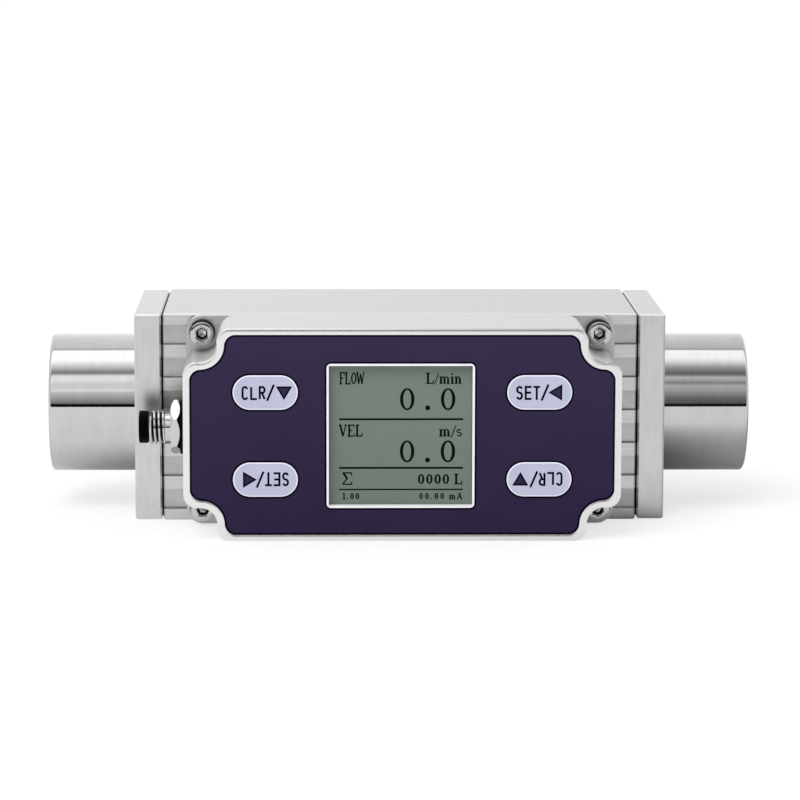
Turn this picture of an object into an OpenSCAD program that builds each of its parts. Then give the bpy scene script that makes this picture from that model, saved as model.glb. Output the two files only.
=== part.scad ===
// Portable gas mass flow meter.
// A square flow body closed by two end plates, each holding a threaded port stub, with a cast
// electronics housing bolted to its front face. The housing has scalloped corners round its
// four screws, a membrane keypad, a display window and a small round connector on its left side.
// Frame: X runs along the gas path, the display faces -Y and Z is up. The origin lies on the
// bottom face of the flow body, below the centre of the gas path. All sizes are in millimetres.

/* [Flow body] */
// Length of the flow body along the gas path
body_l = 109.7; // [106:0.1:125]
// How far the flow body stands above and below the end plates
body_step = 0.2; // [0.1:0.05:0.5]
// Broken edge on the machined blocks
edge_break = 0.4; // [0.2:0.1:0.8]
// Bore of the gas path between the ports
gas_bore_d = 20; // [16:0.5:24]
// Number of grooves milled across each end of the front face
groove_count = 6; // [2:1:6]
// Height of one groove
groove_w = 4.7; // [3:0.1:4.9]
// Height of the land between two grooves
groove_land = 3; // [2:0.1:3.2]
// Depth of a groove
groove_depth = 1.6; // [0.5:0.1:2.5]
// How far each groove runs in under the edge of the housing
groove_reach = 0.8; // [0.3:0.1:1.2]

/* [End plates] */
// Thickness of an end plate
plate_t = 6.2; // [5.6:0.1:9]
// Rim of an end plate outside the collar behind it
plate_rim = 5.5; // [5:0.1:9]
// Thickness of the gasket behind an end plate
plate_gasket_t = 0.4; // [0.3:0.1:1]
// How far the gasket stays inside the plate's edges
plate_gasket_inset = 0.7; // [0.3:0.1:1.5]
// Distance of an end plate's four screws from its edges
plate_screw_edge = 6; // [5:0.1:6.5]
// Depth of the screw holes of an end plate in the flow body
plate_screw_depth = 7; // [5:0.1:7.2]

/* [Ports] */
// Wall of a port stub round its thread
port_wall = 4.25; // [3.5:0.05:6]
// Length of a port stub outside its plate
port_l = 20.6; // [17:0.1:40]
// How far the crests of the port's internal pipe thread stand back from the gas bore
thread_step = 2.05; // [1.5:0.05:3]
// Depth of the port's internal pipe thread
port_thread_l = 15; // [10:0.5:16]
// Chamfer on the outer end of a port stub
port_chamfer = 0.7; // [0.3:0.1:1.5]
// Chamfer at the mouth of the thread
thread_chamfer = 1; // [0.5:0.1:1.5]
// How far the collar, which the plate holds in the body, stands out round the stub
collar_step = 2.2; // [1.8:0.1:3]
// Thickness of the collar
collar_t = 3.5; // [2.5:0.1:4.5]
// Distance of the O-ring's centre from the collar's edge
port_seal_inset = 3.3; // [2:0.1:3.5]
// Section of the port's O-ring
port_seal_d = 1.6; // [1:0.1:2]

/* [Flow straighteners] */
// How far a flow straightener disc stands out round the gas bore
straightener_lip = 2; // [1:0.1:2.5]
// Thickness of a flow straightener disc
straightener_t = 3; // [2:0.1:4]
// Wall between two cells
cell_wall = 0.6; // [0.4:0.1:1]
// Rings of cells round the middle one
cell_rings = 3; // [1:1:3]

/* [Sensor insert] */
// Diameter of the insert's flange
insert_flange_d = 30; // [29:0.1:32]
// Thickness of the insert's flange
insert_flange_t = 3; // [2.6:0.1:4]
// Diameter of the insert's stem
insert_stem_d = 14; // [12:0.1:14.4]
// How far the stem ends short of the gas bore
insert_stem_short = 0.6; // [0.3:0.1:1.5]
// Pitch circle of the insert's screws
insert_screw_pitch_d = 22; // [21.6:0.1:23]
// Section of the insert's O-ring
insert_seal_d = 1.3; // [1:0.1:1.6]
// Width of the sensor blade along the gas path
blade_w = 8; // [6:0.1:9]
// Thickness of the sensor blade
blade_t = 1; // [0.8:0.1:1.6]
// How far the blade reaches past the gas axis
blade_past_axis = 4; // [2:0.1:6]
// Side of the square sensor chip
chip_w = 3; // [2:0.1:4]
// Thickness of the sensor chip
chip_t = 0.5; // [0.3:0.1:0.8]

/* [Electronics housing] */
// Front face of the flow body left free at each end of the housing
housing_end_gap = 5.55; // [5:0.05:7]
// Distance of the housing's rim from the front face of the flow body
housing_rise = 27.3; // [27:0.1:36]
// Thickness of the gasket behind the housing
housing_gasket_t = 0.5; // [0.3:0.1:1]
// Width of the gasket behind the housing
housing_gasket_w = 2.4; // [1.6:0.1:3]
// How far the gasket stays inside the housing's edge
housing_gasket_inset = 1; // [0.8:0.1:1.4]
// Thickness of the four screw lugs
lug_t = 4; // [3:0.1:5]
// Corner radius of the lugs, concentric with their screws
lug_r = 3.75; // [3.6:0.05:4.2]
// Radius of the scallop round each screw
scallop_r = 3.9; // [3.7:0.05:4.4]
// Radius that blends each scallop into the sides
blend_r = 3; // [2.6:0.1:3.4]
// Thickness of the housing's side walls
wall_t = 2.2; // [1.6:0.1:2.4]
// Thickness of the housing's front wall under the keypad
front_t = 2.4; // [1.8:0.1:3]
// Width of the raised rim round the keypad
rim_w = 1.45; // [1.1:0.05:2]
// How far the rim stands above the keypad
rim_lip = 0.15; // [0.12:0.01:0.5]
// Chamfer on the outer edge of the rim
rim_chamfer = 0.45; // [0.2:0.05:0.8]

/* [Keypad] */
// Thickness of the printed overlay
overlay_t = 0.25; // [0.2:0.05:0.4]
// Thickness of the spacer that holds the key domes
spacer_t = 0.3; // [0.25:0.05:0.5]
// Thickness of the key circuit film
circuit_t = 0.2; // [0.15:0.05:0.4]
// Length of a key
key_l = 14.6; // [12:0.1:16]
// Height of a key
key_h = 7.8; // [7:0.1:9]
// How far a key is embossed above the overlay
key_rise = 0.1; // [0.05:0.01:0.12]
// Place of the key columns, as a share of the way from the window to the housing's side
key_place_share = 0.434; // [0.38:0.002:0.5]
// Distance between the key rows
key_pitch_y = 19.8; // [18:0.1:22]
// Diameter of a key dome
dome_d = 6; // [5:0.1:7]
// Thickness of a key dome
dome_t = 0.25; // [0.2:0.01:0.25]
// Width of the circuit film's tail
tail_w = 10; // [8:0.1:14]

/* [Display] */
// Width of the display window
window_w = 33.3; // [30:0.1:36]
// Height of the display window
window_h = 32.8; // [30:0.1:34]
// How far the display window sits to the left of the middle
window_shift = 0.4; // [0:0.1:1]
// How far the display window and the keys sit below the middle
window_drop = 0.2; // [0:0.05:0.5]
// Corner radius of the display window
window_r = 1; // [0.5:0.1:2]
// Width of the white border round the screen
border_w = 0.5; // [0.4:0.05:1.5]
// How far the screen lies below the keypad
screen_recess = 1.9; // [1:0.1:2.4]
// Flange of the border behind the front wall
border_flange_w = 2; // [1.5:0.1:3]
// Thickness of that flange
border_flange_t = 1; // [0.8:0.1:1.5]
// Thickness of the backlight
backlight_t = 2.5; // [2:0.1:3]
// Thickness of the display and main circuit boards
board_t = 1.6; // [1:0.1:1.6]

/* [Electronics] */
// Length of the bosses that carry the main board
boss_l = 10.4; // [10:0.1:10.8]
// Diameter of the bosses
boss_d = 5.4; // [5:0.1:6.5]
// Distance of the bosses from the board's edges
boss_inset = 4; // [3.4:0.1:5]
// Height of the main board
board_h = 36; // [32:0.1:38]
// Clearance between the main board and the housing's scallops
board_gap = 0.5; // [0.3:0.1:1]
// Width of the battery pack
battery_w = 29; // [20:0.5:30]
// Height of the battery pack
battery_h = 21; // [16:0.5:22]
// Clearance between the battery pack and the flow body
battery_gap = 5; // [4.6:0.1:7]
// Width of the flat cable from the sensor
cable_w = 7; // [5:0.5:9]
// Thickness of the flat cables
cable_t = 0.3; // [0.2:0.05:0.5]

/* [Connector] */
// Height of the connector's axis, as a share of the housing's rise
conn_rise_share = 0.535; // [0.5:0.005:0.55]
// Outer diameter of the connector's thread
conn_d = 8; // [7:0.1:8.4]
// Length of the thread outside the nut
conn_thread_l = 3.8; // [3:0.1:8]
// Diameter of the neck between the nut and the thread
conn_neck_d = 6.8; // [6.6:0.1:7]
// Length of the neck
conn_neck_l = 1.3; // [0.8:0.1:2]
// Bore of the connector's shell
conn_bore_d = 5.8; // [5:0.1:6]
// Width across the flats of the nut
nut_flats = 11; // [10:0.1:12]
// Thickness of the nut
nut_t = 2.1; // [1.8:0.1:3]
// Turn of the nut where it was tightened, in degrees
nut_turn = 53.5; // [0:0.5:60]
// Diameter of the sealing washer
conn_seal_d = 12.4; // [12:0.1:14]
// Thickness of the sealing washer
conn_seal_t = 1.0; // [0.8:0.1:2]
// Thickness of the shell's flange inside the housing
conn_flange_t = 1.2; // [1:0.1:2]
// Length of the connector inside the housing
conn_inside_l = 5; // [4:0.1:6]
// Diameter of a contact pin
pin_d = 1; // [0.6:0.1:1]
// Pitch circle of the four pins
pin_pitch_d = 2.8; // [2.6:0.1:3]
// Diameter of the dust plug's head
plug_d = 7.4; // [7:0.1:8]
// Thickness of the dust plug's head
plug_t = 2.2; // [1.5:0.1:4]

/* [Screws] */
// Thread of the housing screws
screw_d = 3; // [2.5:0.1:3]
// Head diameter of the housing screws
screw_head_d = 5.5; // [4.6:0.1:5.6]
// Hexagon socket of the housing screws
screw_socket = 2.5; // [2:0.1:2.5]
// Depth of the housing screws in the flow body
screw_depth = 6.5; // [5:0.1:7]
// Thickness of the split washers
washer_t = 0.8; // [0.5:0.1:1]
// Outer diameter of the split washers
washer_d = 6; // [5.8:0.1:6.4]
// Thread of the end plate screws
plate_screw_d = 4; // [3:0.1:4]
// Head diameter of the end plate screws
plate_head_d = 7; // [6:0.1:7.2]
// Hexagon socket of the end plate screws
plate_socket = 3; // [2.5:0.1:3]
// Thread of the small inner screws
small_screw_d = 2; // [1.6:0.1:2.2]
// Head diameter of the small inner screws
small_head_d = 3.8; // [3.4:0.1:4]

/* [Fits] */
// Clearance all round between pieces that fit together
fit_gap = 0.1; // [0.05:0.01:0.15]

/* [Hidden] */
$fn = 64;

// Length by which a cutter runs past the face that it cuts
overrun = edge_break;

// Sizes that follow from the gas bore outwards
port_thread_d = gas_bore_d + 2 * thread_step;
port_d = port_thread_d + 2 * port_wall;
collar_d = port_d + 2 * collar_step;
port_seal_pitch_d = collar_d - 2 * port_seal_inset;
straightener_d = gas_bore_d + 2 * straightener_lip;
cell_pitch = (gas_bore_d + cell_wall) / (2 * cell_rings + 1);
cell_d = cell_pitch - cell_wall;
plate_w = collar_d + 2 * plate_rim;
body_d = plate_w;
body_h = plate_w + 2 * body_step;
housing_w = body_l - 2 * housing_end_gap;
housing_h = body_h;

// Places shared by several pieces
axis_z = body_h / 2;
body_end = body_l / 2;
plate_in = body_end + plate_gasket_t;
plate_out = plate_in + plate_t;
screw_x = housing_w / 2 - lug_r;
screw_y = housing_h / 2 - lug_r;
plate_screw_at = plate_w / 2 - plate_screw_edge;
key_x = window_w / 2 + key_place_share * (housing_w - window_w) / 2;
conn_rise = conn_rise_share * housing_rise;

// Heights above the front face of the flow body
z_base = housing_gasket_t;
z_lug = z_base + lug_t;
z_rim = housing_rise;
z_film = z_rim - rim_lip;
z_spacer_top = z_film - overlay_t;
z_circuit_top = z_spacer_top - spacer_t;
z_seat = z_circuit_top - circuit_t;
z_wall = z_seat - front_t;
z_screen = z_film - screen_recess;
z_border_back = z_wall - border_flange_t;
z_backlight_back = z_border_back - backlight_t;
z_display_back = z_backlight_back - board_t;
z_board_top = z_wall - boss_l;
z_board_back = z_board_top - board_t;

// Centres of the arcs that blend a scallop into the sides
blend_x = housing_w / 2 - blend_r;
blend_y = housing_h / 2 - blend_r;
arc_reach = scallop_r + blend_r;
side_blend_y = screw_y - sqrt(pow(arc_reach, 2) - pow(screw_x - blend_x, 2));
top_blend_x = screw_x - sqrt(pow(arc_reach, 2) - pow(screw_y - blend_y, 2));

// Screw proportions, as shares of the thread
head_share = 1;
socket_depth_share = 0.55;
washer_hole_share = 1.07;

// Sensor insert
insert_reach = body_d / 2 - gas_bore_d / 2 - insert_stem_short;
insert_seal_at = insert_reach * 0.6;
insert_seal_groove_r = insert_stem_d / 2 + fit_gap - insert_seal_d - 2 * fit_gap;
blade_end = body_d / 2 + blade_past_axis;
header_h = insert_flange_t * 0.7;
header_w = blade_w + cable_t;
header_d = blade_t * 3;

// Boards
board_w = 2 * (screw_x - scallop_r - wall_t - board_gap);
boss_x = board_w / 2 - boss_inset;
boss_y = board_h / 2 - boss_inset;
display_w = window_w + 2 * border_flange_w;
display_h = window_h + 2 * border_flange_w;
battery_x = board_w / 2 - battery_w / 2;
battery_t = z_board_back - battery_gap;
link_h = z_display_back - z_board_top;
chip_h = link_h * 0.3;
socket_w = board_t * 2;
socket_h = board_t * 1.25;
sensor_socket_x = -board_w / 4;
connector_socket_x = 2 * socket_w - board_w / 2;
tail_x = -(window_w / 2 + window_shift + border_flange_w + board_t);
tail_y = (tail_w + pin_pitch_d) / 2 + socket_w;

// Connector
conn_face = conn_seal_t + nut_t;
conn_neck_end = conn_face + conn_neck_l;
conn_end = conn_neck_end + conn_thread_l;
conn_flange_d = conn_seal_d;
conn_insert_t = conn_inside_l * 0.6;
pin_out = conn_end * 0.7;
pin_in = wall_t + conn_inside_l + conn_flange_t;
plug_stem_l = conn_thread_l * 0.5;
plug_stem_t = (conn_bore_d - pin_pitch_d - pin_d) * 0.3;

// Puts children drawn in the housing's front view onto the front face of the flow body
module on_front() {
    translate([0, -body_d / 2, axis_z]) rotate([90, 0, 0]) children();
}

// Puts children drawn along +Z onto the gas axis, pointing out of one end (-1 left, 1 right)
module on_end(side) {
    translate([0, 0, axis_z]) rotate([0, side * 90, 0]) children();
}

// Puts children drawn along +Z onto the connector's axis, with zero on the housing's left wall
module on_connector() {
    translate([-housing_w / 2, -body_d / 2 - conn_rise, axis_z]) rotate([0, -90, 0]) children();
}

// Repeats children in all four corners of a front view
module in_corners() {
    for (mx = [0, 1], my = [0, 1]) mirror([mx, 0, 0]) mirror([0, my, 0]) children();
}

// A cylinder between two heights
module rod(d, from, to) {
    translate([0, 0, from]) cylinder(d = d, h = to - from);
}

// A flat ring between two heights
module ring(outer_d, inner_d, from, to) {
    difference() {
        rod(outer_d, from, to);
        rod(inner_d, from - overrun, to + overrun);
    }
}

// A centred box between two heights
module slab(w, h, from, to) {
    translate([-w / 2, -h / 2, from]) cube([w, h, to - from]);
}

// A rectangle with round corners
module round_rect(w, h, r) {
    square([w - 2 * r, h], center = true);
    square([w, h - 2 * r], center = true);
    for (x = [-1, 1], y = [-1, 1])
        translate([x * (w / 2 - r), y * (h / 2 - r)]) circle(r);
}

// A rectangle with cut corners
module cut_rect(w, h, c) {
    polygon([
        [c - w / 2, -h / 2], [w / 2 - c, -h / 2], [w / 2, c - h / 2], [w / 2, h / 2 - c],
        [w / 2 - c, h / 2], [c - w / 2, h / 2], [-w / 2, h / 2 - c], [-w / 2, c - h / 2]
    ]);
}

// A block with every edge broken, centred
module broken_block(l, d, h, c) {
    intersection() {
        rotate([90, 0, 90]) linear_extrude(l, center = true) cut_rect(d, h, c);
        linear_extrude(h, center = true) cut_rect(l, d, c);
        rotate([90, 0, 0]) linear_extrude(d, center = true) cut_rect(l, h, c);
    }
}

// A socket head screw with its head standing on zero and its thread below
module socket_screw(d, head_d, socket, depth) {
    head_h = d * head_share;
    difference() {
        union() {
            rod(head_d, 0, head_h);
            rod(d, -depth, overrun);
        }
        translate([0, 0, head_h - head_h * socket_depth_share])
            cylinder(d = socket / cos(30), h = head_h, $fn = 6);
    }
}

// A slotted pan screw with its head standing on zero and its thread below
module small_screw(depth) {
    head_h = small_screw_d * 0.6;
    difference() {
        union() {
            rod(small_head_d, 0, head_h);
            rod(small_screw_d, -depth, overrun);
        }
        slab(small_screw_d * 0.25, small_head_d + overrun, head_h * 0.5, head_h + overrun);
    }
}

// Corner of the housing that is cut away, bounded by the centres of its three arcs
module corner_region() {
    polygon([
        [blend_x, side_blend_y], [housing_w / 2 + overrun, side_blend_y],
        [housing_w / 2 + overrun, housing_h / 2 + overrun],
        [top_blend_x, housing_h / 2 + overrun], [top_blend_x, blend_y], [screw_x, screw_y]
    ]);
}

// Everything that is cut away round one screw
module corner_cut(inset) {
    corner_region();
    translate([screw_x, screw_y]) circle(scallop_r + inset);
}

// The two arcs that blend one scallop into the sides
module blend_arcs(inset) {
    translate([blend_x, side_blend_y]) circle(blend_r - inset);
    translate([top_blend_x, blend_y]) circle(blend_r - inset);
}

// Front outline of the housing, set in by a distance all round
module scalloped_outline(inset) {
    difference() {
        square([housing_w - 2 * inset, housing_h - 2 * inset], center = true);
        in_corners() corner_cut(inset);
    }
    in_corners() blend_arcs(inset);
}

// Section of a block whose two top edges are chamfered
module chamfered_section(w, h, c) {
    polygon([[-w / 2, 0], [w / 2, 0], [w / 2, h - c], [w / 2 - c, h], [c - w / 2, h], [-w / 2, h - c]]);
}

// A corner cut as tall as the shell, flared so that it leaves a chamfer round the scallop
module flared_corner_cut(h, c) {
    flare = c + overrun;
    linear_extrude(h + overrun) corner_region();
    translate([screw_x, screw_y, 0]) rotate_extrude() polygon([
        [0, 0], [scallop_r, 0], [scallop_r, h - c], [scallop_r + flare, h + overrun], [0, h + overrun]
    ]);
}

// A round post with a chamfered top, which rounds the shell next to a scallop
module blend_post(h, c) {
    rotate_extrude() polygon([[0, 0], [blend_r, 0], [blend_r, h - c], [blend_r - c, h], [0, h]]);
}

// Solid block with the housing's front outline and a chamfer all round its top edge
module scalloped_block(h, c) {
    difference() {
        intersection() {
            rotate([90, 0, 0]) linear_extrude(housing_h, center = true) chamfered_section(housing_w, h, c);
            rotate([90, 0, 90]) linear_extrude(housing_w, center = true) chamfered_section(housing_h, h, c);
        }
        in_corners() flared_corner_cut(h, c);
    }
    in_corners() {
        translate([blend_x, side_blend_y, 0]) blend_post(h, c);
        translate([top_blend_x, blend_y, 0]) blend_post(h, c);
    }
}

// Outline of one key, with half-round ends
module key_outline() {
    square([key_l - key_h, key_h], center = true);
    for (x = [-1, 1]) translate([x * (key_l - key_h) / 2, 0]) circle(d = key_h);
}

// Repeats children at the four keys
module at_keys() {
    for (x = [-1, 1], y = [-1, 1])
        translate([x * key_x, y * key_pitch_y / 2 - window_drop]) children();
}

// Puts children drawn round the middle of the display window into the front view
module at_window() {
    translate([-window_shift, -window_drop, 0]) children();
}

// A ribbon that eases from one point to another in the XZ plane
module ribbon(x_from, z_from, x_to, z_to, width) {
    steps = 16;
    along = [for (i = [0:steps]) i / steps];
    ease = [for (t = along) t * t * (3 - 2 * t)];
    lower = [for (i = [0:steps]) [x_from + (x_to - x_from) * along[i], z_from + (z_to - z_from) * ease[i]]];
    upper = [for (i = [steps:-1:0]) lower[i] + [0, cable_t]];
    translate([0, width / 2, 0]) rotate([90, 0, 0]) linear_extrude(width) polygon(concat(lower, upper));
}

// Square flow body with the gas bore, the port seats and the sensor pocket
module flow_body() {
    pitch = groove_w + groove_land;
    groove_l = body_end - housing_w / 2 + groove_reach;
    pocket_depth = collar_t + fit_gap;
    seal_r = port_seal_pitch_d / 2;
    seal_half = port_seal_d / 2 + fit_gap;
    color("lightgray")
    difference() {
        translate([0, 0, axis_z]) broken_block(body_l, body_d, body_h, edge_break);
        on_end(1) rod(gas_bore_d, -body_end - overrun, body_end + overrun);
        for (side = [-1, 1]) on_end(side) {
            rod(collar_d + 2 * fit_gap, body_end - pocket_depth, body_end + overrun);
            rod(straightener_d + 2 * fit_gap, body_end - pocket_depth - straightener_t, body_end);
            ring(2 * (seal_r + seal_half), 2 * (seal_r - seal_half),
                 body_end - pocket_depth - port_seal_d, body_end - pocket_depth + overrun / 2);
            for (x = [-1, 1], y = [-1, 1]) translate([x * plate_screw_at, y * plate_screw_at, 0])
                rod(plate_screw_d + 2 * fit_gap, body_end - plate_screw_depth - fit_gap, body_end + overrun);
        }
        on_front() {
            for (i = [0:groove_count - 1], side = [-1, 1])
                translate([side * (body_end - groove_l / 2 + overrun / 2), (i - (groove_count - 1) / 2) * pitch, 0])
                    slab(groove_l + overrun, groove_w, -groove_depth, overrun);
            rod(insert_flange_d + 2 * fit_gap, -insert_flange_t, overrun);
            rod(insert_stem_d + 2 * fit_gap, -body_d / 2, overrun);
            for (a = [45:90:315]) rotate([0, 0, a]) translate([insert_screw_pitch_d / 2, 0, 0])
                rod(small_screw_d + 2 * fit_gap, -insert_flange_t - 3 * small_screw_d, 0);
            in_corners() translate([screw_x, screw_y, 0])
                rod(screw_d + 2 * fit_gap, -screw_depth - fit_gap, overrun);
        }
    }
}

// End plate with its screw recesses and the hole for the port stub
module end_plate(side) {
    head_depth = plate_screw_d * head_share + fit_gap;
    color("silver")
    on_end(side) difference() {
        translate([0, 0, (plate_in + plate_out) / 2]) broken_block(plate_w, plate_w, plate_t, edge_break);
        rod(port_d + 2 * fit_gap, plate_in - overrun, plate_out + overrun);
        for (x = [-1, 1], y = [-1, 1]) translate([x * plate_screw_at, y * plate_screw_at, 0]) {
            rod(plate_screw_d + 2 * fit_gap, plate_in - overrun, plate_out);
            rod(plate_head_d + 4 * fit_gap, plate_out - head_depth, plate_out + overrun);
        }
    }
}

// Turned port stub: a barrel with an internal pipe thread and a collar behind the plate
module port_stub(side) {
    base = body_end - collar_t;
    tip = plate_out + port_l;
    thread_floor = tip - port_thread_l;
    thread_r = port_thread_d / 2;
    color("gainsboro")
    on_end(side) rotate_extrude() polygon([
        [gas_bore_d / 2, base], [collar_d / 2, base], [collar_d / 2, body_end],
        [port_d / 2, body_end], [port_d / 2, tip - port_chamfer], [port_d / 2 - port_chamfer, tip],
        [thread_r + thread_chamfer, tip], [thread_r, tip - thread_chamfer],
        [thread_r, thread_floor], [gas_bore_d / 2, thread_floor - (thread_r - gas_bore_d / 2)]
    ]);
}

// O-ring between a collar and the flow body
module port_seal(side) {
    color("black")
    on_end(side) translate([0, 0, body_end - collar_t - fit_gap - port_seal_d / 2])
        rotate_extrude() translate([port_seal_pitch_d / 2, 0]) circle(d = port_seal_d);
}

// Flat gasket between an end plate and the flow body
module plate_gasket(side) {
    w = plate_w - 2 * plate_gasket_inset;
    color("black")
    on_end(side) translate([0, 0, body_end]) linear_extrude(plate_gasket_t) difference() {
        square(w, center = true);
        circle(d = port_d + 2 * fit_gap);
        for (x = [-1, 1], y = [-1, 1])
            translate([x * plate_screw_at, y * plate_screw_at]) circle(d = plate_screw_d + 2 * fit_gap);
    }
}

// The four screws of an end plate
module end_plate_screws(side) {
    seat = plate_out - plate_screw_d * head_share - fit_gap;
    color("dimgray")
    on_end(side) for (x = [-1, 1], y = [-1, 1])
        translate([x * plate_screw_at, y * plate_screw_at, seat])
            socket_screw(plate_screw_d, plate_head_d, plate_socket, seat - body_end + plate_screw_depth);
}

// Disc of hexagonally packed cells that straightens the flow
module flow_straightener(side) {
    color("darkgray")
    on_end(side) translate([0, 0, body_end - collar_t - fit_gap - straightener_t])
        linear_extrude(straightener_t) difference() {
            circle(d = straightener_d);
            for (row = [-cell_rings:cell_rings], i = [0:2 * cell_rings - abs(row)])
                translate([(i - cell_rings + abs(row) / 2) * cell_pitch, row * cell_pitch * sin(60)])
                    circle(d = cell_d);
        }
}

// Round insert that carries the sensor blade into the gas path
module sensor_insert() {
    color("beige")
    on_front() difference() {
        union() {
            rod(insert_flange_d, -insert_flange_t, 0);
            rod(insert_stem_d, -insert_reach, -insert_flange_t + overrun);
        }
        ring(insert_stem_d + overrun, 2 * insert_seal_groove_r,
             -insert_seal_at - insert_seal_d / 2 - fit_gap, -insert_seal_at + insert_seal_d / 2 + fit_gap);
        slab(blade_w + 2 * fit_gap, blade_t + 2 * fit_gap, -insert_reach - overrun, overrun);
        for (a = [45:90:315]) rotate([0, 0, a]) translate([insert_screw_pitch_d / 2, 0, 0])
            rod(small_screw_d + 2 * fit_gap, -insert_flange_t - overrun, overrun);
    }
}

// O-ring round the insert's stem
module sensor_insert_seal() {
    color("black")
    on_front() translate([0, 0, -insert_seal_at]) rotate_extrude()
        translate([insert_seal_groove_r + fit_gap + insert_seal_d / 2, 0]) circle(d = insert_seal_d);
}

// The four screws of the sensor insert
module sensor_insert_screws() {
    color("silver")
    on_front() for (a = [45:90:315]) rotate([0, 0, a]) translate([insert_screw_pitch_d / 2, 0, 0])
        small_screw(insert_flange_t + 2.5 * small_screw_d);
}

// Circuit blade that stands in the gas path
module sensor_blade() {
    color("darkgreen")
    on_front() slab(blade_w, blade_t, -blade_end, header_h);
}

// Heated sensor chip on the blade, on the gas axis
module sensor_chip() {
    color("darkslategray")
    on_front() translate([-chip_w / 2, blade_t / 2, -(body_d + chip_w) / 2]) cube([chip_w, chip_t, chip_w]);
}

// Header that plugs onto the top of the blade
module sensor_header() {
    color("ivory")
    on_front() difference() {
        slab(header_w + blade_t, header_d, 0, header_h + blade_t);
        slab(blade_w + 2 * fit_gap, blade_t + 2 * fit_gap, -overrun, header_h + fit_gap);
    }
}

// Flat cable from the sensor header to the main board
module sensor_cable() {
    start_x = -(header_w + blade_t) / 2;
    color("goldenrod")
    on_front() ribbon(start_x, header_h / 2, sensor_socket_x + socket_w / 2,
                      z_board_back - socket_h + cable_t, cable_w);
}

// Cast housing: lugs, scalloped shell, keypad seat, display opening and inner bosses
module housing() {
    opening_w = window_w + 2 * fit_gap;
    opening_h = window_h + 2 * fit_gap;
    color("whitesmoke")
    difference() {
        on_front() union() {
            translate([0, 0, z_base]) linear_extrude(lug_t) round_rect(housing_w, housing_h, lug_r);
            translate([0, 0, z_base]) scalloped_block(z_rim - z_base, rim_chamfer);
        }
        on_front() {
            difference() {
                translate([0, 0, z_base - overrun]) linear_extrude(z_wall - z_base + overrun)
                    scalloped_outline(wall_t);
                in_corners() translate([boss_x, boss_y, 0]) rod(boss_d, z_board_top, z_wall + overrun);
            }
            translate([0, 0, z_seat]) linear_extrude(z_rim) scalloped_outline(rim_w);
            translate([0, 0, z_wall - overrun]) linear_extrude(front_t + 2 * overrun)
                at_window() round_rect(opening_w, opening_h, window_r + fit_gap);
            translate([tail_x, tail_y, 0]) slab(board_t, tail_w, z_wall - overrun, z_seat + overrun);
            in_corners() translate([screw_x, screw_y, 0])
                rod(screw_d + 4 * fit_gap, z_base - overrun, z_lug + overrun);
            in_corners() translate([boss_x, boss_y, 0])
                rod(small_screw_d + 2 * fit_gap, z_board_top - overrun, z_wall - boss_l / 4);
        }
        on_connector() rod(conn_d + 2 * fit_gap, -wall_t - overrun, overrun);
    }
}

// Gasket between the housing and the flow body
module housing_gasket() {
    outer = housing_gasket_inset;
    inner = housing_gasket_inset + housing_gasket_w;
    color("black")
    on_front() linear_extrude(housing_gasket_t) difference() {
        round_rect(housing_w - 2 * outer, housing_h - 2 * outer, lug_r - outer);
        difference() {
            round_rect(housing_w - 2 * inner, housing_h - 2 * inner, lug_r - outer);
            in_corners() translate([screw_x, screw_y]) circle(scallop_r);
        }
        in_corners() translate([screw_x, screw_y]) circle(d = screw_d + 4 * fit_gap);
    }
}

// The four screws that hold the housing
module housing_screws() {
    seat = z_lug + washer_t;
    color("silver")
    on_front() in_corners() translate([screw_x, screw_y, seat])
        socket_screw(screw_d, screw_head_d, screw_socket, seat + screw_depth);
}

// Split spring washers under the housing screws
module split_washers() {
    hole_d = screw_d * washer_hole_share;
    slit = washer_t / 2;
    color("gray")
    on_front() in_corners() translate([screw_x, screw_y, 0]) difference() {
        ring(washer_d, hole_d, z_lug, z_lug + washer_t);
        rotate([0, 0, 30]) translate([0, -slit / 2, z_lug - overrun])
            cube([washer_d, slit, washer_t + 2 * overrun]);
    }
}

// Outline shared by the keypad's films, with their window
module film_outline() {
    difference() {
        scalloped_outline(rim_w + fit_gap);
        at_window() round_rect(window_w + 2 * fit_gap, window_h + 2 * fit_gap, window_r + fit_gap);
    }
}

// Circuit film under the keys, with a tail that turns down through the front wall
module key_circuit() {
    color("orange")
    on_front() {
        translate([0, 0, z_seat]) linear_extrude(circuit_t) film_outline();
        translate([tail_x, tail_y, 0])
            slab(circuit_t, tail_w - 4 * fit_gap, z_board_top + socket_h, z_seat + circuit_t / 2);
    }
}

// Spacer film with a hole for each dome
module key_spacer() {
    color("lightyellow")
    on_front() translate([0, 0, z_circuit_top]) linear_extrude(spacer_t) difference() {
        film_outline();
        at_keys() circle(d = dome_d + 2 * fit_gap);
    }
}

// Snap domes of the four keys
module key_domes() {
    color("silver")
    on_front() at_keys() rod(dome_d, z_circuit_top, z_circuit_top + dome_t);
}

// Printed overlay of the keypad
module membrane_overlay() {
    color("indigo")
    on_front() translate([0, 0, z_spacer_top]) linear_extrude(overlay_t) film_outline();
}

// Embossed key fields on the overlay
module key_caps() {
    color("lavender")
    on_front() translate([0, 0, z_film]) linear_extrude(key_rise) at_keys() key_outline();
}

// White border of the display window, held by its flange behind the front wall
module window_border() {
    flange_w = window_w + 2 * border_flange_w;
    flange_h = window_h + 2 * border_flange_w;
    color("white")
    on_front() at_window() difference() {
        union() {
            translate([0, 0, z_border_back]) linear_extrude(z_film - z_border_back)
                round_rect(window_w, window_h, window_r);
            slab(flange_w, flange_h, z_border_back, z_wall);
        }
        slab(window_w - 2 * border_w, window_h - 2 * border_w, z_border_back - overrun, z_film + overrun);
    }
}

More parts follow.
